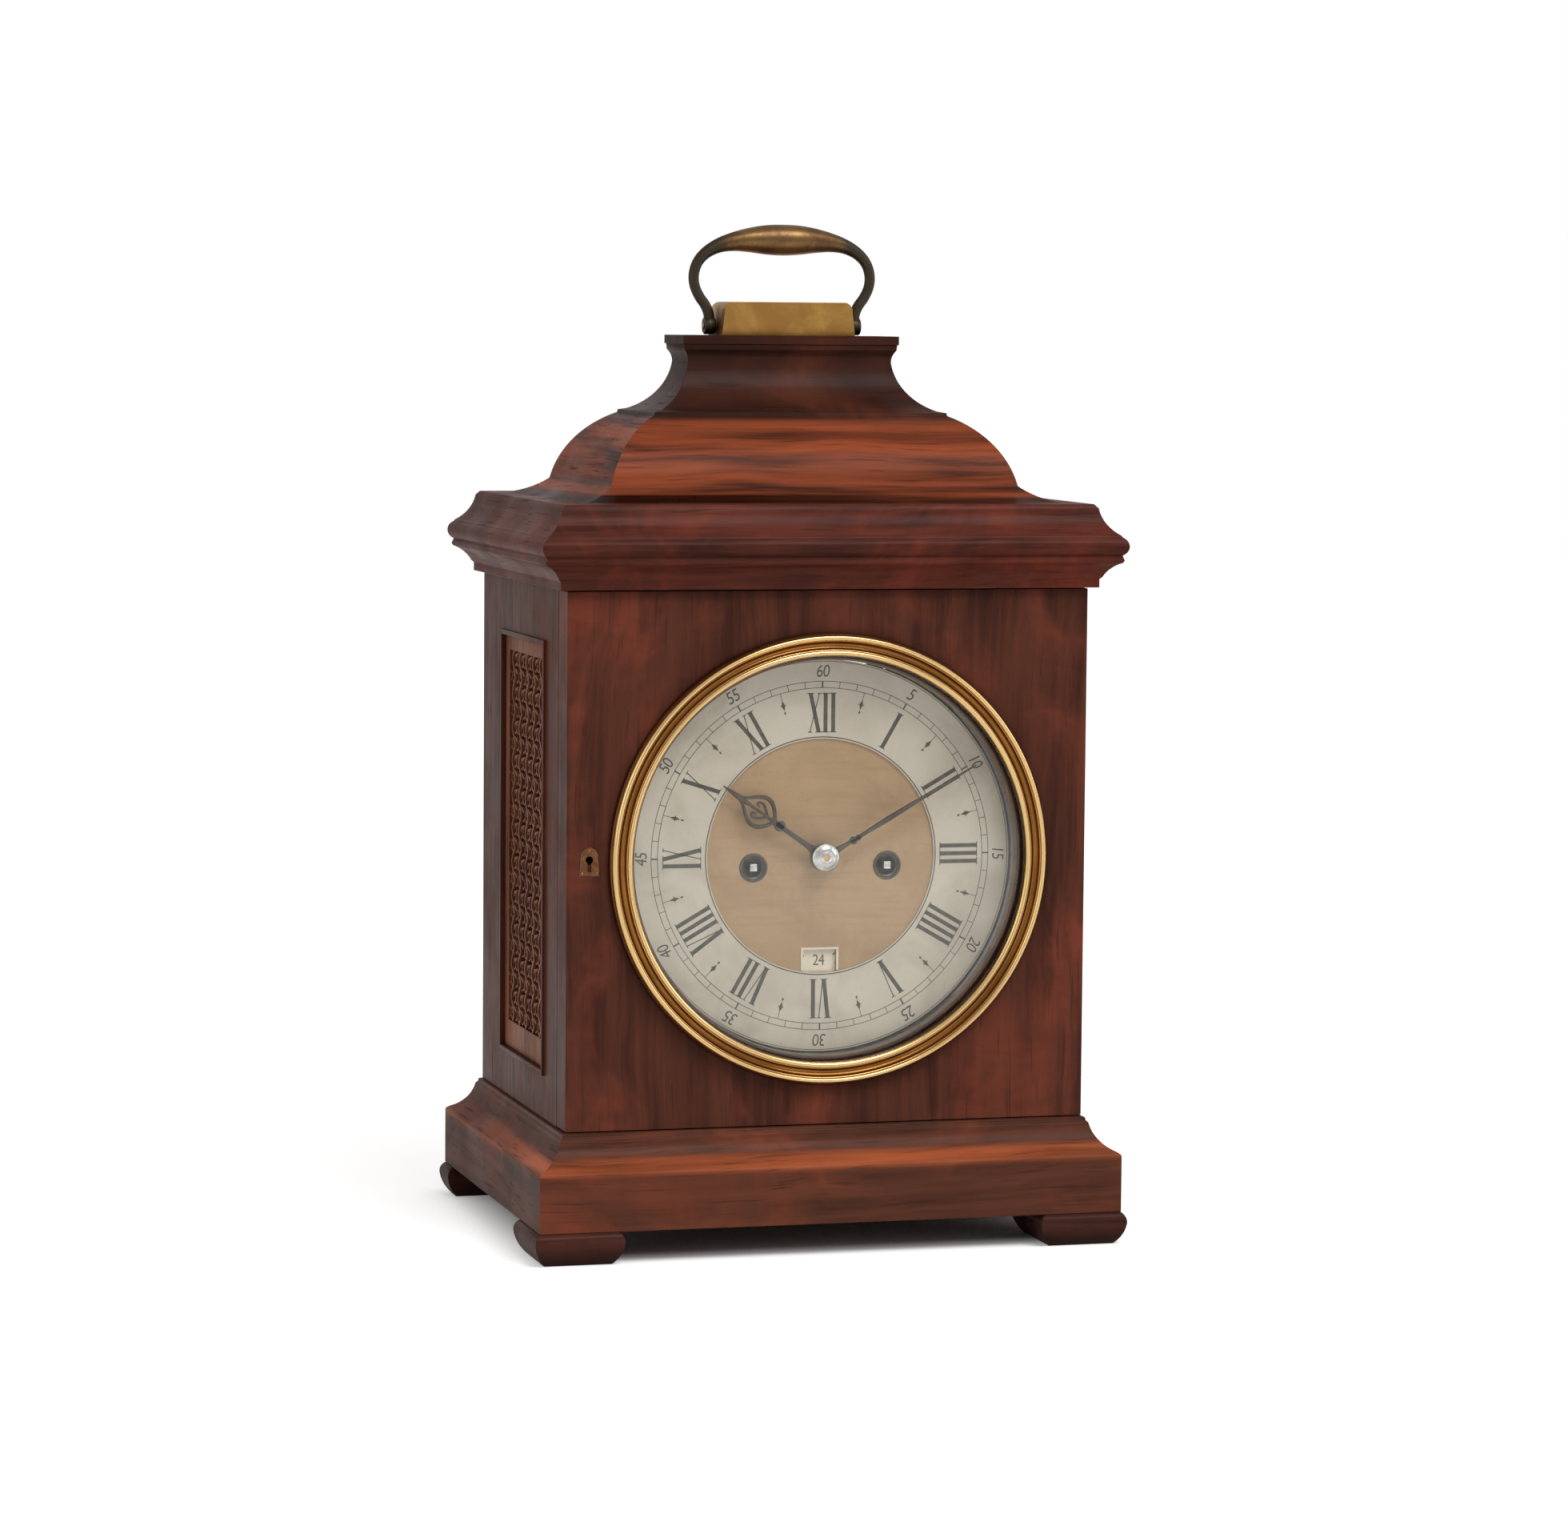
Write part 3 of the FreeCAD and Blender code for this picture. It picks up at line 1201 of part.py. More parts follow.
def frame_pieces():
    node("front_plate", shaped("front_plate", front_plate()))
    node("back_plate", shaped("back_plate", plate((N.inside_back, N.plate_back))))
    pillars = []
    for x, z in FOOT_PILLARS + TOP_PILLARS:
        pillar = bar("y", (x, z), INSIDE, PILLAR)
        if (x, z) in FOOT_PILLARS:
            pillar = pillar.cut(bar("z", (x, N.seat_y), (z - 9, z + 1), BOLT_RADIUS + 0.05))
        pillars.append(pillar)
    node("plate_pillars", shaped("plate_pillars", Part.makeCompound(pillars)))
    node("holding_bolts", shaped("holding_bolts", holding_bolts()))


def holding_bolts():
    """Two bolts up into the handle's mount and two up into the foot pillars of the movement."""
    bolts = []
    places = [(x, 0, N.top_base + CAVITY_TOP, N.top_end + N.mount_height - 6) for x in (-BOLT_X, BOLT_X)]
    places += [(x, N.seat_y, N.seat_top - N.seat_thick, z) for x, z in FOOT_PILLARS]
    for x, y, under, end in places:
        shank = bar("z", (x, y), (under - BOLT_HEAD, end), BOLT_RADIUS)
        bolts.append(shank.fuse(bar("z", (x, y), (under - BOLT_HEAD, under), 2 * BOLT_RADIUS)))
    return Part.makeCompound(bolts)


PILLAR, MINUTE_STUD = 4.5, 0.6
FOOT_PILLARS = [(side * N.foot_pillar_x, N.foot_pillar_z) for side in (-1, 1)]
TOP_PILLARS = [(side * 30, N.seat_top + N.plate_height - 11) for side in (-1, 1)]


def front_plate():
    """The front plate with the stud that carries the minute wheel."""
    shape = plate((N.plate_front, N.inside_front))
    return shape.fuse(bar("y", MINUTE, (N.plate_front - 8, N.plate_front), MINUTE_STUD))


def going_pieces():
    great = fusee(GOING, int(N.great_teeth), GREAT_MODULE, GOING_AIM)
    node("going_fusee", shaped("going_fusee", great))

    centre_at, radius, _ = ARBORS["centre"]
    face = N.dial_front
    shaft = arbor(centre_at, radius, CENTRE_PIVOT, front=face - COLLET_Y + 0.3)
    shaft = with_pinion(shaft, GREAT_MODULE, CENTRE, inside(GREAT_AT) - 1, GOING_AIM + 180)
    turned = wheel(int(N.centre_teeth), N.centre_module, CENTRE, inside(CENTRE_AT), THIRD_ANGLE, radius)
    front = N.plate_front - 3.2
    teeth = int(N.motion_teeth)
    ends = (front, front + N.wheel_thick)
    cannon = toothed(teeth, N.motion_module, CENTRE, ends, MINUTE_BACK - 180, WHEEL_TOOTH)
    cannon = cannon.fuse(bar("y", CENTRE, (face - MINUTE_HAND_Y, front + 2), CANNON_PIPE))
    cannon = cannon.cut(bar("y", CENTRE, (face - 20, front + 4), radius + N.running_gap))
    node("centre_arbor", shaped("centre_arbor", Part.makeCompound([shaft, turned])))
    node("cannon_pinion", shaped("cannon_pinion", cannon))

    place, radius, pivot = ARBORS["third"]
    shaft = with_pinion(
        arbor(place, radius, pivot), N.centre_module, THIRD, inside(CENTRE_AT) - 1.5, THIRD_BACK
    )
    turned = wheel(
        int(N.third_teeth), N.third_module, THIRD, inside(THIRD_AT), ESCAPE_AIM, radius
    )
    node("third_arbor", shaped("third_arbor", Part.makeCompound([shaft, turned])))

    place, radius, pivot = ARBORS["escape"]
    shaft = with_pinion(
        arbor(place, radius, pivot), N.third_module, ESCAPE, inside(THIRD_AT) - 1.5, ESCAPE_AIM + 180
    )
    y = (inside(ESCAPE_AT), inside(ESCAPE_AT) + 1.2)
    outline = []
    for index in range(ESCAPE_TEETH):
        for reach, share in ((-2.8, 0), (0, 0.16), (0, 0.24), (-2.8, 0.66)):
            angle = (index + share) * 360 / ESCAPE_TEETH
            outline.append(polar(ESCAPE, N.escape_radius + reach, angle))
    turned = crossed(prism(outline, "y", *y), ESCAPE, y, N.escape_radius - 4.6, 3, radius)
    node("escape_arbor", shaped("escape_arbor", Part.makeCompound([shaft, turned])))

    teeth = int(N.motion_teeth)
    blank = toothed(
        teeth, N.motion_module, MINUTE, (front, front + N.wheel_thick), MINUTE_BACK + 180 / teeth, WHEEL_TOOTH
    )
    leaves = int(N.pinion_leaves)
    leaf = toothed(leaves, HOUR_MODULE, MINUTE, (front - 4, front), MINUTE_BACK, LEAF)
    minute = blank.fuse(leaf).cut(bar("y", MINUTE, (front - 5, front + 3), MINUTE_STUD + N.running_gap))
    node("minute_wheel", shaped("minute_wheel", minute))

    hour_y = (front - 3.2, front - 1.6)
    aim = MINUTE_BACK - 180 + 180 / N.hour_teeth
    blank = toothed(int(N.hour_teeth), HOUR_MODULE, CENTRE, hour_y, aim, WHEEL_TOOTH)
    hour = blank.fuse(bar("y", CENTRE, (face - HOUR_HAND_Y - 0.1, hour_y[1]), HOUR_PIPE))
    hour = hour.cut(bar("y", CENTRE, (face - 20, hour_y[1] + 1), CANNON_PIPE + 0.15))
    node("hour_wheel", shaped("hour_wheel", hour))


ESCAPE_TEETH = 30
PALLET_CLEAR = 1.6
PENDULUM_BEHIND = 12
ROD_RADIUS = 1.3


def escapement_pieces():
    y = (inside(ESCAPE_AT) - 0.4, inside(ESCAPE_AT) + 1.6)
    inner, outer = N.escape_radius + PALLET_CLEAR, N.escape_radius + PALLET_CLEAR + 3.4
    start, middle, end = (polar(ESCAPE, outer, angle) for angle in (42, 90, 138))
    far, near_middle, near = (polar(ESCAPE, inner, angle) for angle in (138, 90, 42))
    outline = [start, end + middle, far, near + near_middle]
    anchor = prism(outline, "y", *y).fuse(bar("y", PALLET, y, 3.4))
    web = block((-1.5, 1.5), y, (ESCAPE[1] + inner + 0.5, PALLET[1]))
    back = N.plate_back
    place, radius, pivot = ARBORS["pallet"]
    shaft = arbor(place, radius, pivot, back=back + 4.8)
    anchor = anchor.fuse(web).cut(bar("y", PALLET, (y[0] - 1, y[1] + 1), radius))
    drop = 30
    fork_z = PALLET[1] - drop
    crutch = block((-1.5, 1.5), (back + 3, back + 4.5), (fork_z, PALLET[1]))
    crutch = crutch.fuse(bar("y", PALLET, (back + 3, back + 4.5), 3))
    crutch = crutch.fuse(block((-3.3, 3.3), (back + 3, back + 4.5), (fork_z - 4, fork_z)))
    for side in (-1, 1):
        x = sorted((side * (ROD_RADIUS + 0.3), side * 3.3))
        crutch = crutch.fuse(block(x, (back + 3, back + PENDULUM_BEHIND + 2.5), (fork_z - 4, fork_z)))
    crutch = crutch.cut(bar("y", PALLET, (back, back + 6), pivot))
    pallets = Part.makeCompound([shaft, anchor, crutch.removeSplitter()])
    node("pallet_arbor", shaped("pallet_arbor", pallets))

    middle_y, z = back + PENDULUM_BEHIND, PALLET[1]
    cock = block((-16, 16), (middle_y - 3.5, middle_y + 3.5), (z + 0.5, z + 8.5))
    for side in (-1, 1):
        leg = sorted((side * 10, side * 16))
        cock = cock.fuse(block(leg, (back, middle_y), (z + 0.5, z + 8.5)))
        cock = cock.fuse(bar("y", (side * 13, z + 4.5), (middle_y, middle_y + 5), 2.6))
    cock = cock.cut(block((-0.6, 0.6), (middle_y - 4, middle_y + 4), (z, z + 3.5)))
    node("back_cock", shaped("back_cock", cock.removeSplitter()))

    spring = block((-0.2, 0.2), (middle_y - 3, middle_y + 3), (z - 9, z + 2.2))
    chops = block((-2.5, 2.5), (middle_y - 3.4, middle_y + 3.4), (z - 14, z - 9))
    bob_z = N.case_floor + N.bob_rise
    end = bob_z - N.bob_radius - 9
    rod_shape = bar("z", (0, middle_y), (end, z - 14), ROD_RADIUS)
    node("pendulum", shaped("pendulum", spring.fuse([chops, rod_shape]).removeSplitter()))

    rim, swell = 1.2, 6
    lens = [(0, -swell), (N.bob_radius, -rim, 0.6 * N.bob_radius, -0.78 * swell)]
    lens += [(N.bob_radius, rim), (0, swell, 0.6 * N.bob_radius, 0.78 * swell)]
    bob = Part.Face(Part.Wire(flat_edges(lens))).revolve(Vector(), Vector(0, 1, 0), 360)
    bob.translate(Vector(0, middle_y, bob_z))
    bore = bar("z", (0, middle_y), (bob_z - 99, bob_z + 99), ROD_RADIUS + 0.05)
    nut = bar("z", (0, middle_y), (bob_z - N.bob_radius - 4.3, bob_z - N.bob_radius - 0.3), 5)
    node("pendulum_bob", shaped("pendulum_bob", Part.makeCompound([bob.cut(bore), nut.cut(bore)])))


PIN_COUNT, PIN_CIRCLE, PIN_THICK, PIN_LONG = 8, 11, 0.8, 4
FLY_RADIUS = 9


def strike_pieces():
    great = fusee(STRIKE, int(N.strike_teeth), N.strike_module, PIN_BACK - 180)
    node("strike_fusee", shaped("strike_fusee", great))

    place, radius, pivot = ARBORS["pin"]
    shaft = with_pinion(
        arbor(place, radius, pivot), N.strike_module, PIN, inside(GREAT_AT) - 1, PIN_BACK
    )
    front = inside(PIN_AT)
    turned = wheel(int(N.pin_teeth), N.pin_module, PIN, front, GATHERING_BACK - 180, radius)
    for index in range(PIN_COUNT):
        at = polar(PIN, PIN_CIRCLE, (index + 0.5) * 360 / PIN_COUNT)
        turned = turned.fuse(bar("y", at, (front, front + N.wheel_thick + PIN_LONG), PIN_THICK))
    node("pin_wheel", shaped("pin_wheel", Part.makeCompound([shaft, turned])))

    place, radius, pivot = ARBORS["gathering"]
    shaft = with_pinion(
        arbor(place, radius, pivot), N.pin_module, GATHERING, inside(PIN_AT) - 1.5, GATHERING_BACK
    )
    teeth = int(N.gathering_teeth)
    turned = wheel(teeth, N.gathering_module, GATHERING, inside(GATHERING_AT), WARNING_BACK - 180, radius)
    node("gathering_wheel", shaped("gathering_wheel", Part.makeCompound([shaft, turned])))

    place, radius, pivot = ARBORS["warning"]
    at = inside(GATHERING_AT) - 1.5
    shaft = with_pinion(arbor(place, radius, pivot), N.gathering_module, WARNING, at, WARNING_BACK)
    turned = wheel(
        int(N.warning_teeth), N.warning_module, WARNING, inside(WARNING_AT), FLY_BACK - 180, radius
    )
    node("warning_wheel", shaped("warning_wheel", Part.makeCompound([shaft, turned])))

    place, radius, pivot = ARBORS["fly"]
    front = inside(WARNING_AT) - 1.5
    shaft = with_pinion(arbor(place, radius, pivot), N.warning_module, FLY, front, FLY_BACK)
    vane_y = (inside(WARNING_AT) + 6, inside(GATHERING_AT) - 5)
    vane = block((FLY[0] - FLY_RADIUS, FLY[0] + FLY_RADIUS), vane_y, (FLY[1] - 0.4, FLY[1] + 0.4))
    vane = vane.cut(bar("y", FLY, (vane_y[0] - 1, vane_y[1] + 1), radius))
    hub = bar("y", FLY, vane_y, 2).cut(bar("y", FLY, (vane_y[0] - 1, vane_y[1] + 1), radius))
    node("fly", shaped("fly", Part.makeCompound([shaft, hub.fuse(vane).removeSplitter()])))


BELL_BEHIND = 37
BELL_CLEAR = 9
BELL_TALL = 27


def bell_pieces():
    y = N.inside_front + BELL_BEHIND
    mouth = N.seat_top + N.plate_height + BELL_CLEAR
    radius, wall = N.bell_radius, 1.8
    profile = [
        (2.1, BELL_TALL - wall),
        (0.29 * radius, BELL_TALL - 1.5 - wall, 0.16 * radius, BELL_TALL - 0.5 - wall),
        (S.bell_radius - wall, 0, 0.79 * radius - wall, 0.56 * BELL_TALL),
        (S.bell_radius, 0),
        (0.3 * radius, BELL_TALL - 1.3, 0.84 * radius, 0.6 * BELL_TALL),
        (2.1, BELL_TALL, 0.16 * radius, BELL_TALL - 0.3),
    ]
    place = (0, S.inside_front + BELL_BEHIND, S.seat_top + S.plate_height + BELL_CLEAR)
    node("strike_bell", turned_body("strike_bell", "XZ_Plane", profile, place))

    back, side = N.plate_back, radius + 12
    crown = mouth + BELL_TALL
    strip = block((side - 4, side + 4), (back, back + 2.5), (mouth - 32, crown + 6))
    plan = [(side + 4, back), (side + 4, back + 2.5), (side - 5, back + 2.5), (-4, y + 3)]
    plan += [(-4, y - 4), (4, y - 4), (side - 4, back - 2)]
    arm = prism(plan, "z", crown + 3, crown + 6)
    stud = bar("z", (0, y), (crown - 5, crown + 6), 2)
    collar = bar("z", (0, y), (crown, crown + 3), 4)
    nut = bar("z", (0, y), (crown - wall - 3.5, crown - wall - 0.5), 4)
    stand = strip.fuse([arm, stud, collar, nut]).removeSplitter()
    node("bell_stand", shaped("bell_stand", stand))

    head_z = mouth + 3
    place, thick, pivot = ARBORS["hammer"]
    head_x = -(radius + 1.7)
    shaft = arbor(place, thick, pivot)
    foot, head = Vector(HAMMER[0], y, HAMMER[1]), Vector(head_x - 4, y, head_z)
    stem = Part.makeCylinder(1.1, (head - foot).Length, foot, head - foot)
    block_head = bar("x", (y, head_z), (head_x - 8, head_x), 4)
    tail_y = (inside(PIN_AT) + N.wheel_thick + 0.6, inside(PIN_AT) + N.wheel_thick + PIN_LONG)
    gap = math.dist(HAMMER, PIN) - PIN_CIRCLE - PIN_THICK - 0.5
    tail = block((0, gap), tail_y, (-0.9, 0.9))
    toward = math.degrees(math.atan2(PIN[1] - HAMMER[1], PIN[0] - HAMMER[0]))
    tail.rotate(Vector(), Vector(0, 1, 0), -toward)
    tail.translate(Vector(HAMMER[0], 0, HAMMER[1]))
    hammer = shaft.fuse([stem, block_head, tail, bar("y", HAMMER, tail_y, 2.2)])
    node("hammer", shaped("hammer", hammer.removeSplitter()))


def barrel_pieces():
    for name, place in zip(("going_barrel", "strike_barrel"), BARRELS):
        node(name, shaped(name, barrel(place)))
    arbors = []
    for place in BARRELS:
        shaft = bar("y", place, (PLATES[0] - 3.2, PLATES[1]), BARREL_ARBOR)
        ratchet = toothed(16, 0.8, place, (PLATES[0] - 2.6, PLATES[0] - 0.4), 0, (0.5, 0.9, 0.4, 0.1))
        arbors.append(shaft.fuse(ratchet))
    node("barrel_arbors", shaped("barrel_arbors", Part.makeCompound(arbors)))
    springs = [mainspring(place) for place in BARRELS]
    node("mainsprings", shaped("mainsprings", Part.makeCompound(springs)))
    lines = [fusee_line(at, to, 28) for at, to in zip(BARRELS, (GOING, STRIKE))]
    node("fusee_lines", shaped("fusee_lines", Part.makeCompound(lines)))


def write_parts():
    """Check the whole document, then write each node to its own file."""
    doc.recompute()
    for item in doc.Objects:
        faults = {"Invalid", "Error"} & set(item.State)
        if faults:
            raise RuntimeError(f"{item.Label} is {', '.join(faults)}")
    for name, item in NODES.items():
        if item.Shape.isNull() or not item.Shape.isValid():
            raise RuntimeError(f"{name} has no valid shape")
    os.makedirs("parts", exist_ok=True)
    for name, item in NODES.items():
        item.Shape.exportStep(f"parts/{name}.step")
        print(f"{name}: {len(item.Shape.Solids)} solids, {item.Shape.Volume:.0f} mm3")
    print(f"{len(NODES)} nodes")


case_pieces()
handle_pieces()
door_pieces()
dial_pieces()
hand_pieces()
frame_pieces()
barrel_pieces()
going_pieces()
escapement_pieces()
strike_pieces()
bell_pieces()
write_parts()
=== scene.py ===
"""The looks of a bracket clock: its finishes, its turned and engraved pieces and a pale studio.

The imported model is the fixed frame. Lengths are in metres, except in the classes and outlines that
give theirs in millimetres. X runs to the right of the dial, Y to the back of the case and Z up, and
the dial faces -Y.
"""

from __future__ import annotations

import json
import logging
import math
from dataclasses import dataclass, field
from enum import Enum
from typing import Iterable, Sequence

import bmesh
import bpy
from mathutils import Matrix, Vector

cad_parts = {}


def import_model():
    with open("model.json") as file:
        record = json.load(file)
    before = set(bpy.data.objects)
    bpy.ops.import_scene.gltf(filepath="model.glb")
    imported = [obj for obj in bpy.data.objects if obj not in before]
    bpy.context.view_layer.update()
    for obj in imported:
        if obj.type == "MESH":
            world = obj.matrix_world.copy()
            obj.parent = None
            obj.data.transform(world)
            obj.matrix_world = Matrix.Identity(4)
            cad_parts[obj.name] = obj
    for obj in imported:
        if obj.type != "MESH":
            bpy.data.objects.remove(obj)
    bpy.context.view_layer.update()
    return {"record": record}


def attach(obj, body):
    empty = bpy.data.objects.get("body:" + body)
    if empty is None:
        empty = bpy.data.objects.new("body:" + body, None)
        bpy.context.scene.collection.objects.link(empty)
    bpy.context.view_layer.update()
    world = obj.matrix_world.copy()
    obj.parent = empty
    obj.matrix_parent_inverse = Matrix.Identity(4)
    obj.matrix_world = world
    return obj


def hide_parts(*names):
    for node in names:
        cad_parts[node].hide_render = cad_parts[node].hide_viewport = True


MM = 0.001
DIAL_HEIGHT = 183.0
DIAL_CENTRE = (0.0, -0.0764, DIAL_HEIGHT * MM)
BOB_CENTRE = (0.0, 0.0185, 0.0936)
BELL_CENTRE = (0.0, -0.0205, 0.29)
BODY_HALF_WIDE = 0.1245
BODY_HALF_DEEP = 0.09
LOG = logging.getLogger("bracket_clock")

Socket = bpy.types.NodeSocket
Piece = bpy.types.Object
Colour = tuple[float, float, float, float]


def tone(red: int, green: int, blue: int) -> Colour:
    """A colour as seen on a screen, made linear for a shader.

    Args:
        red: Red from 0 to 255.
        green: Green from 0 to 255.
        blue: Blue from 0 to 255.

    Returns:
        The linear colour with full alpha.
    """

    def linear(value: float) -> float:
        """One channel made linear."""
        return value / 12.92 if value <= 0.04045 else ((value + 0.055) / 1.055) ** 2.4

    return (linear(red / 255), linear(green / 255), linear(blue / 255), 1.0)


class Along(Enum):
    """The way that the grain of a wooden piece runs."""

    UP = "up"
    ACROSS = "across"
    BACK = "back"
    ROUND = "round the case"


# ---- materials --------------------------------------------------------------------------


class Bench:
    """A material's node tree, with a short call for each kind of node that finishes share."""

    def __init__(self, name: str) -> None:
        """Start a material that holds one principled shader.

        Args:
            name: The material's name.
        """
        self.material = bpy.data.materials.new(name)
        self.material.use_nodes = True
        self.tree = self.material.node_tree
        self.shader = self.tree.nodes["Principled BSDF"]

    def node(self, kind: str, **settings: object) -> bpy.types.Node:
        """Add a node and set its properties.

        Args:
            kind: The node's type without its ShaderNode prefix.
            **settings: Properties of the node.

        Returns:
            The new node.
        """
        made = self.tree.nodes.new(f"ShaderNode{kind}")
        for name, value in settings.items():
            setattr(made, name, value)
        return made

    def feed(self, socket: Socket, value: object) -> None:
        """Link or set a socket.

        Args:
            socket: The input socket.
            value: Another node's output, or a plain value.
        """
        if isinstance(value, bpy.types.NodeSocket):
            self.tree.links.new(value, socket)
        else:
            socket.default_value = value

    def sums(self, kind: str, first: object, second: object = 0.0) -> Socket:
        """Arithmetic on one or two values.

        Args:
            kind: The operation of the Math node.
            first: The first value.
            second: The second value.

        Returns:
            The result.
        """
        made = self.node("Math", operation=kind)
        for socket, value in zip(made.inputs, (first, second)):
            self.feed(socket, value)
        return made.outputs[0]

    def between(self, value: object, low: float, high: float, to: tuple[float, float] = (0, 1)) -> Socket:
        """A value moved smoothly from one range to another, and kept inside it.

        Args:
            value: The value to move.
            low: Where the first range starts.
            high: Where the first range ends.
            to: The second range.

        Returns:
            The moved value.
        """
        made = self.node("MapRange", interpolation_type="SMOOTHSTEP")
        for number, item in enumerate((value, low, high, *to)):
            self.feed(made.inputs[number], item)
        return made.outputs[0]

    def place(self, scale: Sequence[float] = (1, 1, 1), turn: Sequence[float] = (0, 0, 0),
              move: Sequence[float] = (0, 0, 0), start: Socket | None = None) -> Socket:
        """The object's own coordinates, stretched, turned and moved.

        Args:
            scale: Stretch along each axis.
            turn: Turn about each axis, in radians.
            move: Move along each axis.
            start: Coordinates to start from instead of the object's.

        Returns:
            The coordinates.
        """
        source = start or self.node("TexCoord").outputs["Object"]
        made = self.node("Mapping")
        self.feed(made.inputs["Vector"], source)
        made.inputs["Location"].default_value = move
        made.inputs["Rotation"].default_value = turn
        made.inputs["Scale"].default_value = scale
        return made.outputs[0]

    def noise(self, where: Socket, scale: float, detail: float = 3, rough: float = 0.5,
              warp: float = 0.0) -> Socket:
        """Soft noise.

        Args:
            where: The coordinates.
            scale: How many patches there are in a metre.
            detail: How many octaves it has.
            rough: How strong the finer octaves are.
            warp: How much it is distorted.

        Returns:
            A value around a half.
        """
        made = self.node("TexNoise")
        self.feed(made.inputs["Vector"], where)
        made.inputs["Scale"].default_value = scale
        made.inputs["Detail"].default_value = detail
        made.inputs["Roughness"].default_value = rough
        made.inputs["Distortion"].default_value = warp
        return made.outputs["Fac"]

    def blend(self, amount: object, first: object, second: object) -> Socket:
        """Two colours mixed.

        Args:
            amount: How much of the second colour there is.
            first: The first colour.
            second: The second colour.

        Returns:
            The mixed colour.
        """
        made = self.node("Mix", data_type="RGBA", blend_type="MIX")
        self.feed(made.inputs[0], amount)
        self.feed(made.inputs[6], first)
        self.feed(made.inputs[7], second)
        return made.outputs[2]

    def grooves(self, height: Socket, depth: float, strength: float, under: Socket | None = None) -> Socket:
        """A bumped normal.

        Args:
            height: The height from 0 to 1.
            depth: How deep the relief is, in metres.
            strength: How much of it is used.
            under: Another bumped normal that this one lies over.

        Returns:
            The normal.
        """
        made = self.node("Bump")
        made.inputs["Strength"].default_value = strength
        made.inputs["Distance"].default_value = depth
        self.feed(made.inputs["Height"], height)
        if under:
            self.feed(made.inputs["Normal"], under)
        return made.outputs[0]

    def radius(self, centre: Sequence[float]) -> Socket:
        """How far a point is from an axis that runs from front to back.

        Args:
            centre: A point on the axis.

        Returns:
            The distance in metres.
        """
        parts = self.parts(self.place(move=tuple(-value for value in centre)))
        squares = [self.sums("POWER", parts[number], 2.0) for number in (0, 2)]
        return self.sums("SQRT", self.sums("ADD", *squares))

    def parts(self, where: Socket | None = None) -> bpy.types.NodeOutputs:
        """Coordinates taken apart.

        Args:
            where: The coordinates, or the object's own when there are none.

        Returns:
            The three axes.
        """
        made = self.node("SeparateXYZ")
        self.feed(made.inputs[0], where or self.node("TexCoord").outputs["Object"])
        return made.outputs

    def disc(self, radius: Socket) -> Socket:
        """Coordinates that change with the radius only, for the rings of a lathe.

        Args:
            radius: The distance from the axis.

        Returns:
            The coordinates.
        """
        made = self.node("CombineXYZ")
        self.feed(made.inputs[0], radius)
        return made.outputs[0]

    def hollows(self, reach: float) -> Socket:
        """How open a surface is, from ambient occlusion: 1 in the open and less in a corner, where the
        finishes paint shade.

        Args:
            reach: How far the corner's darkness reaches.

        Returns:
            The openness.
        """
        made = self.node("AmbientOcclusion", samples=6)
        made.inputs["Distance"].default_value = reach
        return made.outputs["AO"]

    def finish(self, colour: object, rough: object, normal: Socket | None = None,
               **numbers: object) -> bpy.types.Material:
        """Feed the shader.

        Args:
            colour: The base colour.
            rough: The roughness.
            normal: A bumped normal.
            **numbers: Plain numbers for other sockets, with underscores for spaces.

        Returns:
            The material.
        """
        self.feed(self.shader.inputs["Base Color"], colour)
        self.feed(self.shader.inputs["Roughness"], rough)
        if normal:
            self.feed(self.shader.inputs["Normal"], normal)
        for name, value in numbers.items():
            self.feed(self.shader.inputs[name.replace("_", " ")], value)
        return self.material


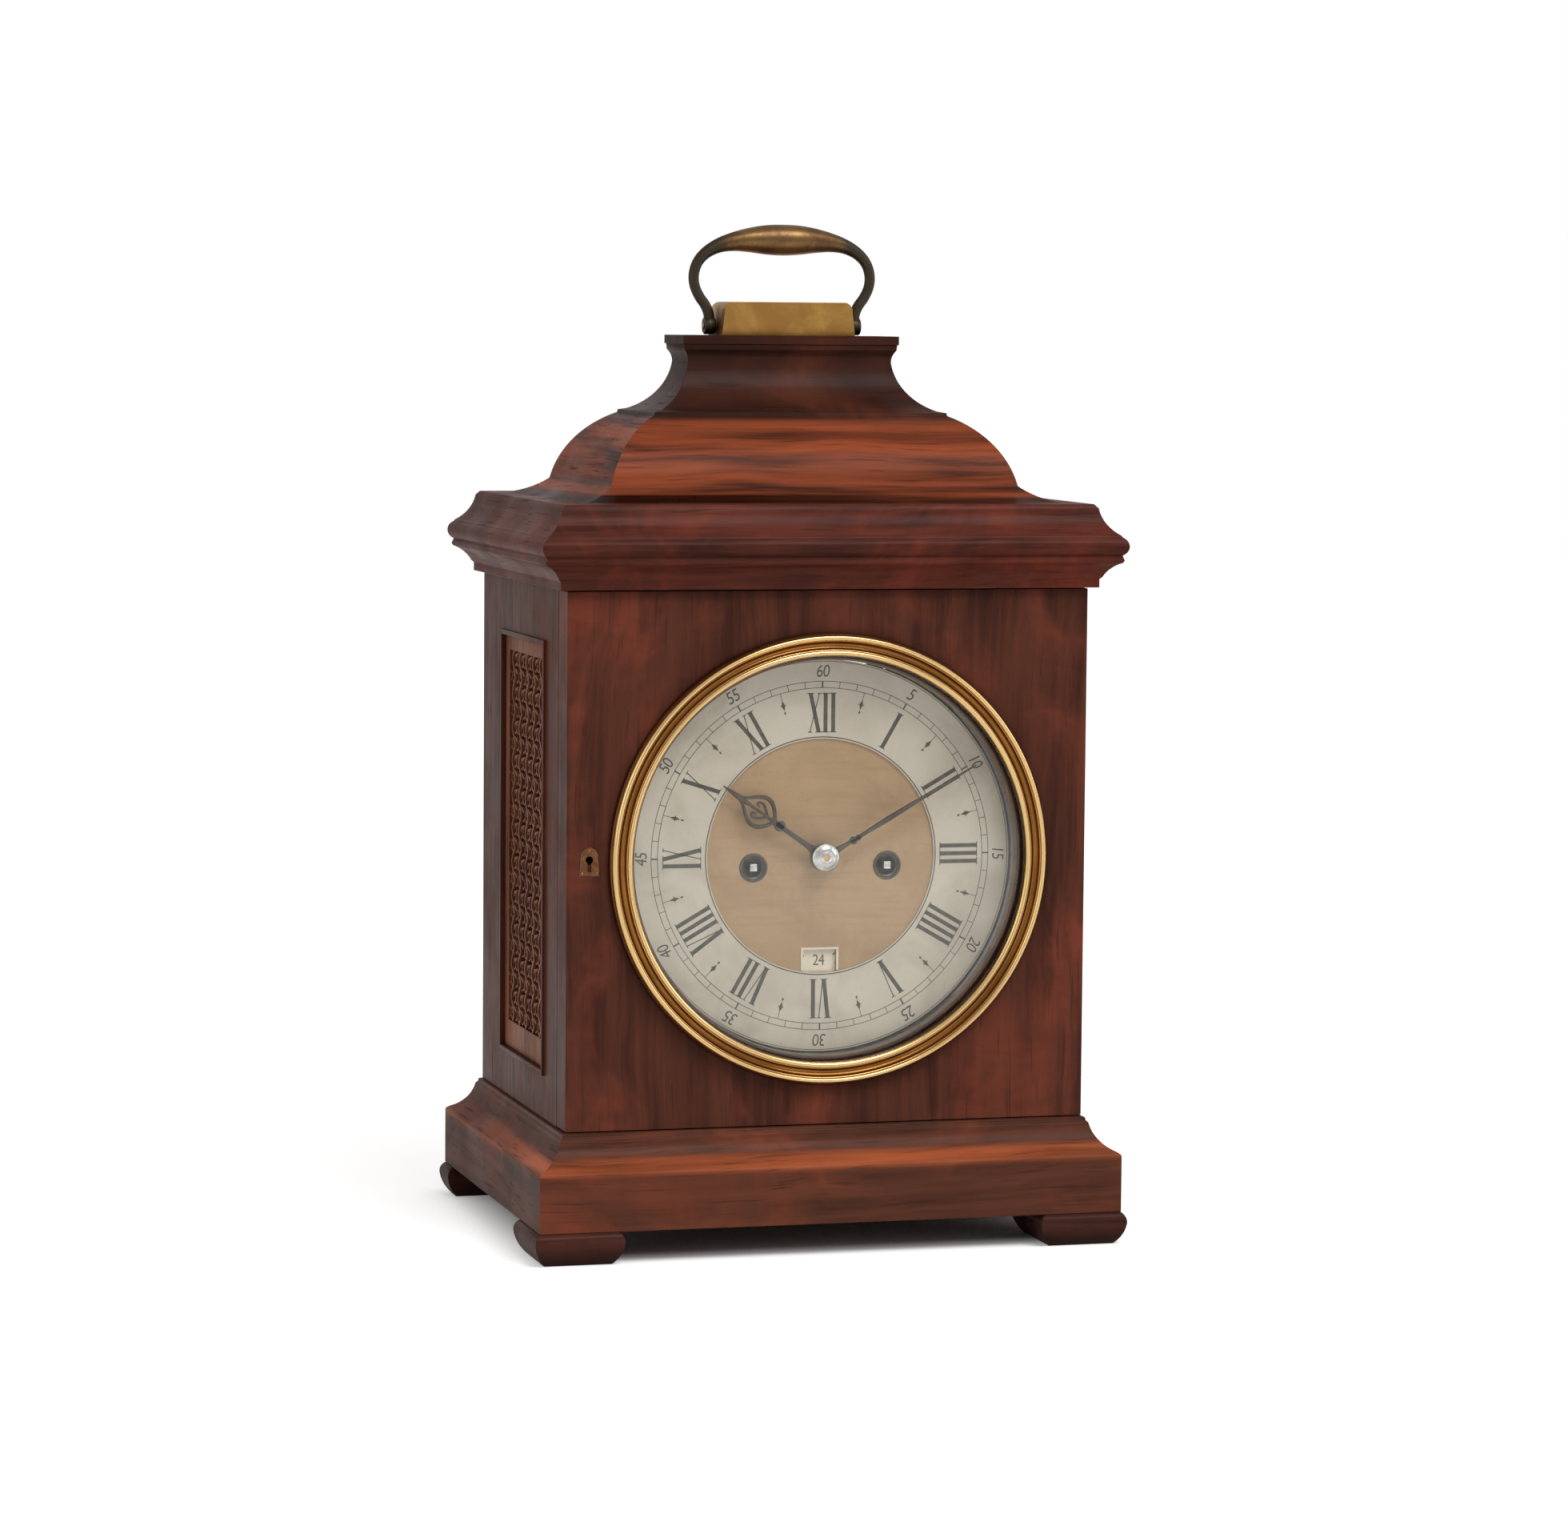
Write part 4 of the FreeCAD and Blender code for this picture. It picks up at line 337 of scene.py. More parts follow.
@dataclass(frozen=True)
class Mahogany:
    """French-polished mahogany with its growth bands, pores and crossing figure."""

    name: str
    along: Along
    dark: Colour = tone(46, 25, 20)
    middle: Colour = tone(80, 43, 33)
    light: Colour = tone(124, 58, 38)
    figure: float = 0.6
    polish: float = 0.34
    coat: float = 0.05
    seed: float = 0.0
    # A paler band painted between two heights: a painted highlight.
    faded: Colour | None = None
    faded_from: float = 0.0
    faded_to: float = 1.0
    faded_edge: float = 0.002
    # The colour of the painted shade in corners.
    grime: Colour = tone(24, 15, 12)

    def direction(self, bench: Bench) -> Socket:
        """Coordinates whose third axis runs with the grain.

        Args:
            bench: The material's node tree.

        Returns:
            The coordinates.
        """
        turns = {
            Along.UP: (0.0, 0.0, 0.0),
            Along.ACROSS: (0.0, math.pi / 2, 0.0),
            Along.BACK: (math.pi / 2, 0.0, 0.0),
        }
        if self.along is not Along.ROUND:
            return bench.place(turn=turns[self.along], move=(self.seed, self.seed / 2, 0))
        source = bench.node("TexCoord").outputs["Object"]
        parts = bench.parts(source)
        past_side = bench.sums("SUBTRACT", bench.sums("ABSOLUTE", parts[0]), BODY_HALF_WIDE)
        past_end = bench.sums("SUBTRACT", bench.sums("ABSOLUTE", parts[1]), BODY_HALF_DEEP)
        at_side = bench.sums("GREATER_THAN", past_side, past_end)
        mixed = bench.node("Mix", data_type="VECTOR")
        bench.feed(mixed.inputs[0], at_side)
        bench.feed(mixed.inputs[4], bench.place(turn=turns[Along.ACROSS], start=source))
        bench.feed(mixed.inputs[5], bench.place(turn=turns[Along.BACK], start=source, move=(0.3, 0, 0)))
        return mixed.outputs[1]

    def worn(self, bench: Bench) -> object:
        """The middle tone, with a paler band painted between two heights as a painted highlight.

        Args:
            bench: The material's node tree.

        Returns:
            The colour.
        """
        if not self.faded:
            return self.middle
        height, edge = bench.parts()[2], self.faded_edge
        over = bench.between(height, self.faded_from - edge, self.faded_from + edge)
        under = bench.between(height, self.faded_to - edge, self.faded_to + edge, (1, 0))
        return bench.blend(bench.sums("MULTIPLY", over, under), self.middle, self.faded)

    def made(self) -> bpy.types.Material:
        """Mix the finish.

        Returns:
            The finished material.
        """
        bench = Bench(self.name)
        base = self.direction(bench)
        drift = bench.noise(bench.place((9, 9, 4), start=base), 1.0, 3)
        offset = bench.node("CombineXYZ")
        bench.feed(offset.inputs[0], bench.sums("MULTIPLY", drift, 0.03))
        bench.feed(offset.inputs[1], bench.sums("MULTIPLY", drift, 0.018))
        wavy = bench.node("VectorMath", operation="ADD")
        bench.feed(wavy.inputs[0], base)
        bench.feed(wavy.inputs[1], offset.outputs[0])
        grain = wavy.outputs[0]

        bands = bench.noise(bench.place((1, 1, 0.05), start=grain), 150, 4, 0.62)
        broad = bench.noise(bench.place((1, 1, 0.16), start=grain), 26, 3, 0.5, 0.6)
        ripple = bench.noise(bench.place((0.5, 0.5, 1.6), start=grain), 34, 3, 0.55, 1.1)
        mottle = bench.noise(bench.place((1, 1, 0.7), start=grain), 13, 4, 0.6, 1.4)
        streak = bench.noise(bench.place((1, 1, 0.035), start=grain), 640, 2, 0.5)
        pores = bench.between(streak, 0.60, 0.72)

        # The middle tone carries the painted highlight band, where the finish has one.
        middle = self.worn(bench)
        colour = bench.blend(bench.between(bands, 0.3, 0.72), self.dark, middle)
        colour = bench.blend(bench.between(broad, 0.42, 0.7, (0, 0.7)), colour, middle)
        patch = bench.between(mottle, 0.45, 0.7)
        glow = bench.sums("MULTIPLY", patch, bench.between(ripple, 0.3, 0.7, (0.45, 1)))
        colour = bench.blend(bench.sums("MULTIPLY", glow, self.figure), colour, self.light)
        colour = bench.blend(bench.sums("MULTIPLY", pores, 0.5), colour, self.dark)
        # Painted shade: the colour is darkened in corners, from ambient occlusion.
        grime = bench.between(bench.hollows(0.012), 0.25, 0.95, (0.5, 0))
        colour = bench.blend(grime, colour, self.grime)

        hand = bench.noise(bench.place((1, 1, 1)), 22, 4, 0.6)
        sheen = bench.between(hand, 0.3, 0.75, (self.polish - 0.05, self.polish + 0.12))
        rough = bench.sums("ADD", sheen, bench.sums("MULTIPLY", pores, 0.15))
        normal = bench.grooves(bench.noise(bench.place((1, 1, 0.4), start=grain), 45, 3, 0.5), 0.0003, 0.5)
        normal = bench.grooves(bench.sums("SUBTRACT", 1.0, pores), 0.00005, 0.4, normal)
        return bench.finish(colour, rough, normal, Coat_Weight=self.coat, Coat_Roughness=0.22, IOR=1.08)


@dataclass(frozen=True)
class Metal:
    """A worked metal with worn and dull places, and painted shade in its corners."""

    name: str
    bright: Colour
    dull: Colour
    # The colour of the painted shade in corners.
    dirt: Colour = tone(52, 38, 22)
    rough: float = 0.28
    spread: float = 0.12
    patches: float = 60.0
    brushed: tuple[float, float, float] = (1, 1, 1)
    marks: float = 900.0
    relief: float = 0.00002
    # How dark the painted shade in corners gets, and how far it reaches.
    dirty: float = 0.7
    reach: float = 0.004
    metallic: float = 1.0

    def made(self) -> bpy.types.Material:
        """Mix the finish.

        Returns:
            The finished material.
        """
        bench = Bench(self.name)
        wear = bench.noise(bench.place(), self.patches, 5, 0.65, 0.5)
        lines = bench.noise(bench.place(self.brushed), self.marks, 3, 0.6)
        colour = bench.blend(bench.between(wear, 0.35, 0.68), self.bright, self.dull)
        colour = bench.blend(bench.between(lines, 0.35, 0.75, (0, 0.25)), colour, self.dull)
        # Painted shade: darker and rougher in corners, from ambient occlusion.
        grime = bench.between(bench.hollows(self.reach), 0.3, 0.95, (self.dirty, 0))
        colour = bench.blend(grime, colour, self.dirt)
        rough = bench.between(wear, 0.3, 0.75, (self.rough, self.rough + self.spread))
        rough = bench.sums("ADD", rough, bench.sums("MULTIPLY", grime, 0.3))
        return bench.finish(colour, rough, bench.grooves(lines, self.relief, 0.6), Metallic=self.metallic)


@dataclass(frozen=True)
class Bronze:
    """A cast bronze handle, rubbed to gold-brown where it is held and dark on its arms."""

    name: str = "handle_bronze"
    rubbed: Colour = tone(122, 94, 58)
    brown: Colour = tone(94, 66, 44)
    dark: Colour = tone(62, 54, 44)
    pitted: Colour = tone(40, 34, 28)
    # The colour of the painted shade in corners.
    grime: Colour = tone(34, 28, 22)
    half_grip: float = 0.030

    def made(self) -> bpy.types.Material:
        """Mix the finish.

        Returns:
            The finished material.
        """
        bench = Bench(self.name)
        beside = bench.sums("ABSOLUTE", bench.parts()[0])
        on_arm = bench.between(beside, self.half_grip - 0.006, self.half_grip + 0.003)
        cloud = bench.noise(bench.place(), 90, 4, 0.6, 0.4)
        pits = bench.noise(bench.place(), 620, 3, 0.65)
        colour = bench.blend(bench.between(cloud, 0.35, 0.68), self.rubbed, self.brown)
        colour = bench.blend(on_arm, colour, self.dark)
        colour = bench.blend(bench.between(pits, 0.55, 0.75, (0, 0.5)), colour, self.pitted)
        # Painted shade: darker in corners, from ambient occlusion.
        grime = bench.between(bench.hollows(0.004), 0.3, 0.95, (0.6, 0))
        colour = bench.blend(grime, colour, self.grime)
        rough = bench.between(cloud, 0.3, 0.75, (0.34, 0.46))
        rough = bench.sums("ADD", rough, bench.sums("MULTIPLY", on_arm, 0.08))
        normal = bench.grooves(cloud, 0.0001, 0.4)
        normal = bench.grooves(pits, 0.00006, 0.6, normal)
        return bench.finish(colour, rough, normal, Metallic=0.9)


@dataclass(frozen=True)
class Lacquered:
    """Lacquered brass on a turned ring: bright on its beads as a painted highlight, amber lacquer in the
    hollows between them, darker there as painted shade, and painted shade on its inner sleeve and in its
    corners.
    """

    name: str
    centre: tuple[float, float, float]
    beads: tuple[float, ...]
    wide: float = 0.0016
    # The painted highlight colour on the beads.
    gold: Colour = tone(222, 186, 128)
    # The amber lacquer of the cove, darker than the beads as painted shade.
    amber: Colour = tone(150, 103, 54)
    # The painted shade colour on the inner sleeve.
    inner: Colour = tone(96, 74, 44)
    clouded: Colour = tone(128, 84, 38)
    spotted: Colour = tone(94, 62, 28)
    # The colour of the painted shade in corners.
    grime: Colour = tone(70, 44, 20)
    # The radius inside which the inner sleeve gets painted shade.
    sight: float = 0.0946

    def made(self) -> bpy.types.Material:
        """Mix the finish.

        Returns:
            The finished material.
        """
        bench = Bench(self.name)
        radius = bench.radius(self.centre)
        # Painted highlight on each bead.
        bead_highlight: object = 0.0
        for bead in self.beads:
            away = bench.sums("ABSOLUTE", bench.sums("SUBTRACT", radius, bead))
            near = bench.between(away, self.wide * 0.55, self.wide * 1.3, (1, 0))
            bead_highlight = bench.sums("MAXIMUM", bead_highlight, near)
        cloud = bench.noise(bench.place(), 34, 4, 0.6, 0.6)
        spots = bench.noise(bench.place(), 520, 3, 0.7)
        fine = bench.noise(bench.disc(radius), 5200, 2, 0.6)
        amber = bench.blend(bench.between(cloud, 0.35, 0.7), self.amber, self.clouded)
        colour = bench.blend(bead_highlight, amber, self.gold)
        # Painted shade on the inner sleeve.
        sleeve_shade = bench.between(radius, self.sight - 0.0004, self.sight, (1, 0))
        colour = bench.blend(sleeve_shade, colour, self.inner)
        colour = bench.blend(bench.between(spots, 0.6, 0.8, (0, 0.45)), colour, self.spotted)
        # Painted shade: darker in corners, from ambient occlusion.
        grime = bench.between(bench.hollows(0.004), 0.25, 0.9, (0.6, 0))
        colour = bench.blend(grime, colour, self.grime)
        rough = bench.between(cloud, 0.3, 0.75, (0.2, 0.3))
        rough = bench.sums("ADD", rough, bench.sums("MULTIPLY", grime, 0.2))
        return bench.finish(colour, rough, bench.grooves(fine, 0.000012, 0.5), Metallic=1.0)


@dataclass(frozen=True)
class Turned:
    """A metal disc or ring with the fine rings that a lathe or a hand left on it."""

    name: str
    bright: Colour
    dull: Colour
    centre: tuple[float, float, float]
    rough: float = 0.4
    rings: float = 1400.0
    relief: float = 0.00002
    speckle: float = 0.3
    metallic: float = 0.3
    streaks: float = 0.0

    def made(self) -> bpy.types.Material:
        """Mix the finish.

        Returns:
            The finished material.
        """
        bench = Bench(self.name)
        fine = bench.noise(bench.disc(bench.radius(self.centre)), self.rings, 2, 0.6)
        cloud = bench.noise(bench.place(), 30, 4, 0.6, 0.6)
        spots = bench.noise(bench.place(), 420, 3, 0.7)
        streak = bench.noise(bench.place((0.06, 1, 1)), 420, 3, 0.6)
        colour = bench.blend(bench.between(cloud, 0.38, 0.7, (0, 0.6)), self.bright, self.dull)
        colour = bench.blend(bench.between(spots, 0.55, 0.75, (0, self.speckle)), colour, self.dull)
        colour = bench.blend(bench.between(streak, 0.45, 0.75, (0, self.streaks)), colour, self.dull)
        colour = bench.blend(bench.between(fine, 0.4, 0.8, (0, 0.15)), colour, self.dull)
        rough = bench.between(cloud, 0.3, 0.75, (self.rough, self.rough + 0.15))
        normal = bench.grooves(fine, self.relief, 0.5)
        normal = bench.grooves(spots, self.relief, 0.4, normal)
        return bench.finish(colour, rough, normal, Metallic=self.metallic)


@dataclass(frozen=True)
class Pane:
    """Old clear glass: a mirror where it is seen flat on, and otherwise open."""

    name: str = "old_glass"
    least: float = 0.035
    clean: Colour = tone(244, 248, 246)
    dusty: Colour = tone(226, 228, 222)

    def made(self) -> bpy.types.Material:
        """Mix the finish.

        Returns:
            The finished material.
        """
        bench = Bench(self.name)
        facing = bench.node("LayerWeight")
        facing.inputs["Blend"].default_value = 0.5
        rim = bench.sums("POWER", facing.outputs["Facing"], 5.0)
        seen = bench.sums("ADD", bench.sums("MULTIPLY", rim, 0.9), self.least)
        dust = bench.noise(bench.place(), 260, 4, 0.7)
        seen = bench.sums("ADD", seen, bench.between(dust, 0.6, 0.9, (0, 0.03)))
        colour = bench.blend(bench.between(dust, 0.5, 0.8, (0, 0.5)), self.clean, self.dusty)
        rough = bench.between(dust, 0.4, 0.8, (0.04, 0.12))
        wave = bench.noise(bench.place(), 16, 2, 0.5)
        return bench.finish(colour, rough, bench.grooves(wave, 0.0001, 0.3), Alpha=seen, Metallic=1.0)


@dataclass(frozen=True)
class Cloth:
    """A plain woven silk, faded and dusty."""

    name: str = "faded_silk"
    warp: Colour = tone(86, 58, 44)
    weft: Colour = tone(52, 34, 27)
    bleached: Colour = tone(104, 76, 58)
    threads: float = 2600.0

    def made(self) -> bpy.types.Material:
        """Mix the finish.

        Returns:
            The finished material.
        """
        bench = Bench(self.name)
        parts = bench.parts()
        down, across = (bench.sums("SINE", bench.sums("MULTIPLY", parts[axis], self.threads * 2))
                        for axis in (1, 2))
        weave = bench.between(bench.sums("MULTIPLY", down, across), -0.6, 0.6)
        fade = bench.noise(bench.place(), 26, 4, 0.6)
        slub = bench.noise(bench.place((1, 1, 0.04)), 900, 2)
        colour = bench.blend(weave, self.weft, self.warp)
        colour = bench.blend(bench.between(fade, 0.4, 0.7, (0, 0.5)), colour, self.bleached)
        colour = bench.blend(bench.between(slub, 0.5, 0.8, (0, 0.4)), colour, self.weft)
        return bench.finish(colour, 0.62, bench.grooves(weave, 0.00004, 0.7), Sheen_Weight=0.3,
                            Sheen_Roughness=0.4)


@dataclass(frozen=True)
class Dull:
    """A matt stuff such as wax, gut or a shadowed bore."""

    name: str
    first: Colour
    second: Colour
    scale: float = 300.0
    stretch: tuple[float, float, float] = (1, 1, 1)
    rough: float = 0.55

    def made(self) -> bpy.types.Material:
        """Mix the finish.

        Returns:
            The finished material.
        """
        bench = Bench(self.name)
        cloud = bench.noise(bench.place(self.stretch), self.scale, 4, 0.6)
        colour = bench.blend(bench.between(cloud, 0.35, 0.7), self.first, self.second)
        rough = bench.between(cloud, 0.3, 0.8, (self.rough - 0.08, self.rough + 0.1))
        return bench.finish(colour, rough, bench.grooves(cloud, 0.00003, 0.5))


Finish = Mahogany | Metal | Bronze | Lacquered | Turned | Pane | Cloth | Dull


class Stock:
    """The finishes that the clock is made in, each made once, when it is first asked for."""

    RECIPES: dict[str, Finish] = {
        finish.name: finish
        for finish in (
            Mahogany("door_mahogany", Along.UP, tone(57, 32, 25), tone(88, 49, 37), tone(122, 60, 44), 0.75),
            Mahogany("side_mahogany", Along.UP, tone(60, 34, 26), tone(92, 54, 42), tone(118, 62, 46), 0.4,
                     seed=0.7),
            Mahogany("moulding_mahogany", Along.ROUND, tone(52, 27, 22), tone(92, 47, 37),
                     tone(136, 60, 42), 0.5),
            # The paler bands on the plinth's cove and the bell top's swell are painted highlights.
            Mahogany("plinth_mahogany", Along.ROUND, tone(56, 33, 26), tone(96, 56, 42),
                     tone(142, 70, 46), 0.55, faded=tone(176, 92, 56), faded_from=0.0412, faded_to=0.0475),
            Mahogany("top_mahogany", Along.ROUND, tone(38, 21, 17), tone(56, 32, 25), tone(104, 54, 38), 0.45,
                     faded=tone(148, 72, 42), faded_from=0.349, faded_to=0.384),
            Mahogany("feet_mahogany", Along.ACROSS, tone(44, 26, 22), tone(74, 43, 35), tone(98, 52, 40),
                     0.3),
            Mahogany("inside_wood", Along.UP, tone(58, 38, 26), tone(92, 62, 42), tone(112, 78, 52), 0.3,
                     polish=0.55, coat=0.0),
            Mahogany("rail_wood", Along.ACROSS, tone(58, 38, 26), tone(92, 62, 42), tone(112, 78, 52), 0.3,
                     polish=0.55, coat=0.0),
            Mahogany("fret_mahogany", Along.UP, tone(96, 58, 42), tone(142, 90, 66), tone(164, 106, 78), 0.3,
                     polish=0.36, coat=0.03, seed=0.4),
            Lacquered("bezel_brass", DIAL_CENTRE, (0.1028, 0.0957)),
            # The liner's brass is a darker copy of the bezel's: painted shade.
            Lacquered("liner_brass", DIAL_CENTRE, (), gold=tone(112, 90, 56), amber=tone(104, 82, 50),
                      inner=tone(96, 70, 36), sight=0.0),
            Metal("escutcheon_brass", tone(130, 88, 62), tone(96, 62, 44), tone(40, 24, 18), 0.36, 0.14, 260),
            Metal("clock_brass", tone(206, 170, 104), tone(176, 138, 78), tone(88, 64, 34), 0.26, 0.14, 40,
                  brushed=(1, 1, 0.05)),
            Metal("wheel_brass", tone(214, 178, 110), tone(186, 148, 86), tone(96, 70, 36), 0.22, 0.12, 60),
            # The mount gets darker painted shade in its corners, reaching further.
            Metal("mount_brass", tone(198, 154, 84), tone(154, 112, 60), tone(70, 46, 24), 0.3, 0.14, 36,
                  brushed=(0.05, 1, 1), dirty=0.8, reach=0.006),
            Metal("hinge_brass", tone(150, 116, 66), tone(112, 84, 48), tone(52, 38, 24), 0.36, 0.14, 220),
            Metal("faded_steel", tone(96, 90, 80), tone(70, 64, 56), tone(34, 30, 26), 0.36, 0.14, 160,
                  metallic=0.8),
            Metal("blued_steel", tone(58, 60, 72), tone(40, 40, 48), tone(20, 18, 18), 0.3, 0.12, 160),
            Metal("bright_steel", tone(222, 220, 216), tone(176, 174, 168), tone(84, 76, 64), 0.18, 0.14,
                  120),
            Metal("dark_steel", tone(120, 118, 116), tone(84, 80, 76), tone(44, 38, 32), 0.34, 0.14, 160),
            Turned("silvering", tone(200, 191, 173), tone(172, 161, 142), DIAL_CENTRE, 0.4, speckle=0.35),
            Turned("matted_brass", tone(176, 145, 108), tone(152, 123, 88), DIAL_CENTRE, 0.5, 900, 0.00005,
                   0.5, streaks=0.4),
            Turned("date_silver", tone(228, 218, 196), tone(200, 190, 168), DIAL_CENTRE, 0.45),
            Turned("bell_metal", tone(196, 180, 140), tone(160, 144, 108), BELL_CENTRE, 0.2, 500,
                   metallic=1.0),
            Turned("bob_brass", tone(214, 178, 110), tone(178, 140, 80), BOB_CENTRE, 0.24, 3000,
                   metallic=1.0),
            Pane(),
            Bronze(),
            Cloth(),
            Dull("engraving_wax", tone(54, 52, 43), tone(78, 74, 60)),
            Dull("ferrule_shade", tone(52, 44, 34), tone(78, 66, 48), 500, rough=0.4),
            Dull("gut_line", tone(186, 150, 90), tone(150, 114, 62), 1600, (1, 1, 0.3), 0.45),
        )
    }

    def __init__(self) -> None:
        """Start with no material made."""
        self.ready: dict[str, bpy.types.Material] = {}

    def get(self, name: str) -> bpy.types.Material:
        """A finish's material.

        Args:
            name: The finish's name.

        Returns:
            Its material.
        """
        if name not in self.ready:
            self.ready[name] = self.RECIPES[name].made()
        return self.ready[name]


# ---- shapes -----------------------------------------------------------------------------


Form = bmesh.types.BMesh


def slab(form: Form, low: Sequence[float], high: Sequence[float]) -> list[bmesh.types.BMVert]:
    """Add a block between two corners.

    Args:
        form: The mesh under work.
        low: Its lowest corner.
        high: Its highest corner.

    Returns:
        The block's corners.
    """
    low, high = Vector(low), Vector(high)
    where = Matrix.Translation((low + high) / 2) @ Matrix.Diagonal((*(high - low), 1.0))
    return bmesh.ops.create_cube(form, size=1.0, matrix=where)["verts"]


def in_metres(points: Iterable[Sequence[float]]) -> list[tuple[float, ...]]:
    """Points given in millimetres, in metres."""
    return [tuple(value * MM for value in point) for point in points]


def turned(form: Form, profile: Sequence[tuple[float, float]], centre: Sequence[float],
           axis: Sequence[float] = (0, -1, 0), steps: int = 96, closed: bool = True) -> None:
    """Add a turned solid.

    Args:
        form: The mesh under work.
        profile: Points of (radius, height along the axis).
        centre: The point on the axis where the height is 0.
        axis: The axis's direction.
        steps: How many facets it has round the axis.
        closed: Whether the profile's ends are joined.
    """
    centre, axis = Vector(centre), Vector(axis).normalized()
    side = axis.orthogonal().normalized()
    corners = [form.verts.new(centre + side * radius + axis * height) for radius, height in profile]
    pairs = list(zip(corners, corners[1:])) + ([(corners[-1], corners[0])] if closed else [])
    edges = [form.edges.new(pair) for pair in pairs]
    before = set(form.verts) - set(corners)
    bmesh.ops.spin(form, geom=corners + edges, cent=centre, axis=axis, angle=math.tau, steps=steps,
                   use_merge=True, use_duplicate=False)
    made = [corner for corner in form.verts if corner not in before]
    bmesh.ops.remove_doubles(form, verts=made, dist=1e-7)


def swept(form: Form, sections: Sequence[Sequence[Vector]]) -> None:
    """Add a solid that is drawn out from section to section.

    Args:
        form: The mesh under work.
        sections: The corners of each section, in the same order.
    """
    end = form.faces.new([form.verts.new(corner) for corner in sections[0]])
    corners = list(end.verts)
    for section in sections[1:]:
        places = [corner.co.copy() for corner in corners]
        grown = bmesh.ops.extrude_face_region(form, geom=[end])["geom"]
        end = next(item for item in grown if isinstance(item, bmesh.types.BMFace))
        free = list(end.verts)
        corners = [min(free, key=lambda corner: (corner.co - place).length_squared) for place in places]
        for corner, place in zip(corners, section):
            corner.co = place


def curve_through(points: Sequence[Sequence[float]], steps: int) -> list[tuple[float, ...]]:
    """A smooth line through a few points.

    Args:
        points: The points that it passes, with any further numbers that change along it.
        steps: How many points it gets between two of them.

    Returns:
        The points of the smooth line.
    """
    ends = [points[0], *points, points[-1]]
    smooth: list[tuple[float, ...]] = []
    for before, start, end, after in zip(ends, ends[1:], ends[2:], ends[3:]):
        for step in range(steps):
            part = step / steps
            smooth.append(tuple(
                0.5 * (2 * b + (c - a) * part + (2 * a - 5 * b + 4 * c - d) * part**2
                       + (3 * b - a - 3 * c + d) * part**3)
                for a, b, c, d in zip(before, start, end, after)))
    return [*smooth, tuple(points[-1])]


def tube(form: Form, line: Sequence[tuple[float, float, float]], facets: int) -> None:
    """Add a round bar that follows a line in the XZ plane, given in millimetres.

    Args:
        form: The mesh under work.
        line: Points of (x, z, radius).
        facets: How many facets it has round its girth.
    """
    turns = [math.tau * step / facets for step in range(facets)]
    side = Vector((0, 1, 0))
    sections = []
    for number, (x, z, radius) in enumerate(line):
        before, after = line[max(number - 1, 0)], line[min(number + 1, len(line) - 1)]
        ahead = Vector((after[0] - before[0], 0, after[1] - before[1])).normalized()
        across = Vector((-ahead.z, 0, ahead.x))
        middle = Vector((x, 0, z))
        sections.append([(middle + (side * math.cos(turn) + across * math.sin(turn)) * radius) * MM
                         for turn in turns])
    swept(form, sections)


def ribbon(form: Form, line: Sequence[tuple[float, float, float]], thick: float, taper: float = 0.75) -> None:
    """Add a flat bar that follows a line in the XY plane and stands on it.

    Args:
        form: The mesh under work.
        line: Points of (x, y, half width).
        thick: Its thickness, towards +Z.
        taper: The share of its width that its upper face keeps.
    """
    sections = []
    for number, (x, y, half) in enumerate(line):
        before, after = line[max(number - 1, 0)], line[min(number + 1, len(line) - 1)]
        ahead = Vector((after[0] - before[0], after[1] - before[1], 0)).normalized()
        side = Vector((-ahead.y, ahead.x, 0))
        middle, up = Vector((x, y, 0)), Vector((0, 0, thick))
        sections.append([middle + side * half, middle - side * half,
                         middle + up - side * half * taper, middle + up + side * half * taper])
    swept(form, sections)


def pattern_of(form: Form) -> bpy.types.Mesh:
    """Turn a mesh under work into a pattern to stamp, and use it up.

    Args:
        form: The mesh under work.

    Returns:
        The pattern.
    """
    mesh = bpy.data.meshes.new("pattern")
    form.to_mesh(mesh)
    form.free()
    return mesh


def stamp(form: Form, pattern: bpy.types.Mesh, where: Matrix) -> None:
    """Add a copy of a pattern.

    Args:
        form: The mesh under work.
        pattern: The pattern.
        where: Its place, turn and scale.
    """
    count = len(form.verts)
    form.from_mesh(pattern)
    form.verts.ensure_lookup_table()
    bmesh.ops.transform(form, matrix=where, verts=form.verts[count:])


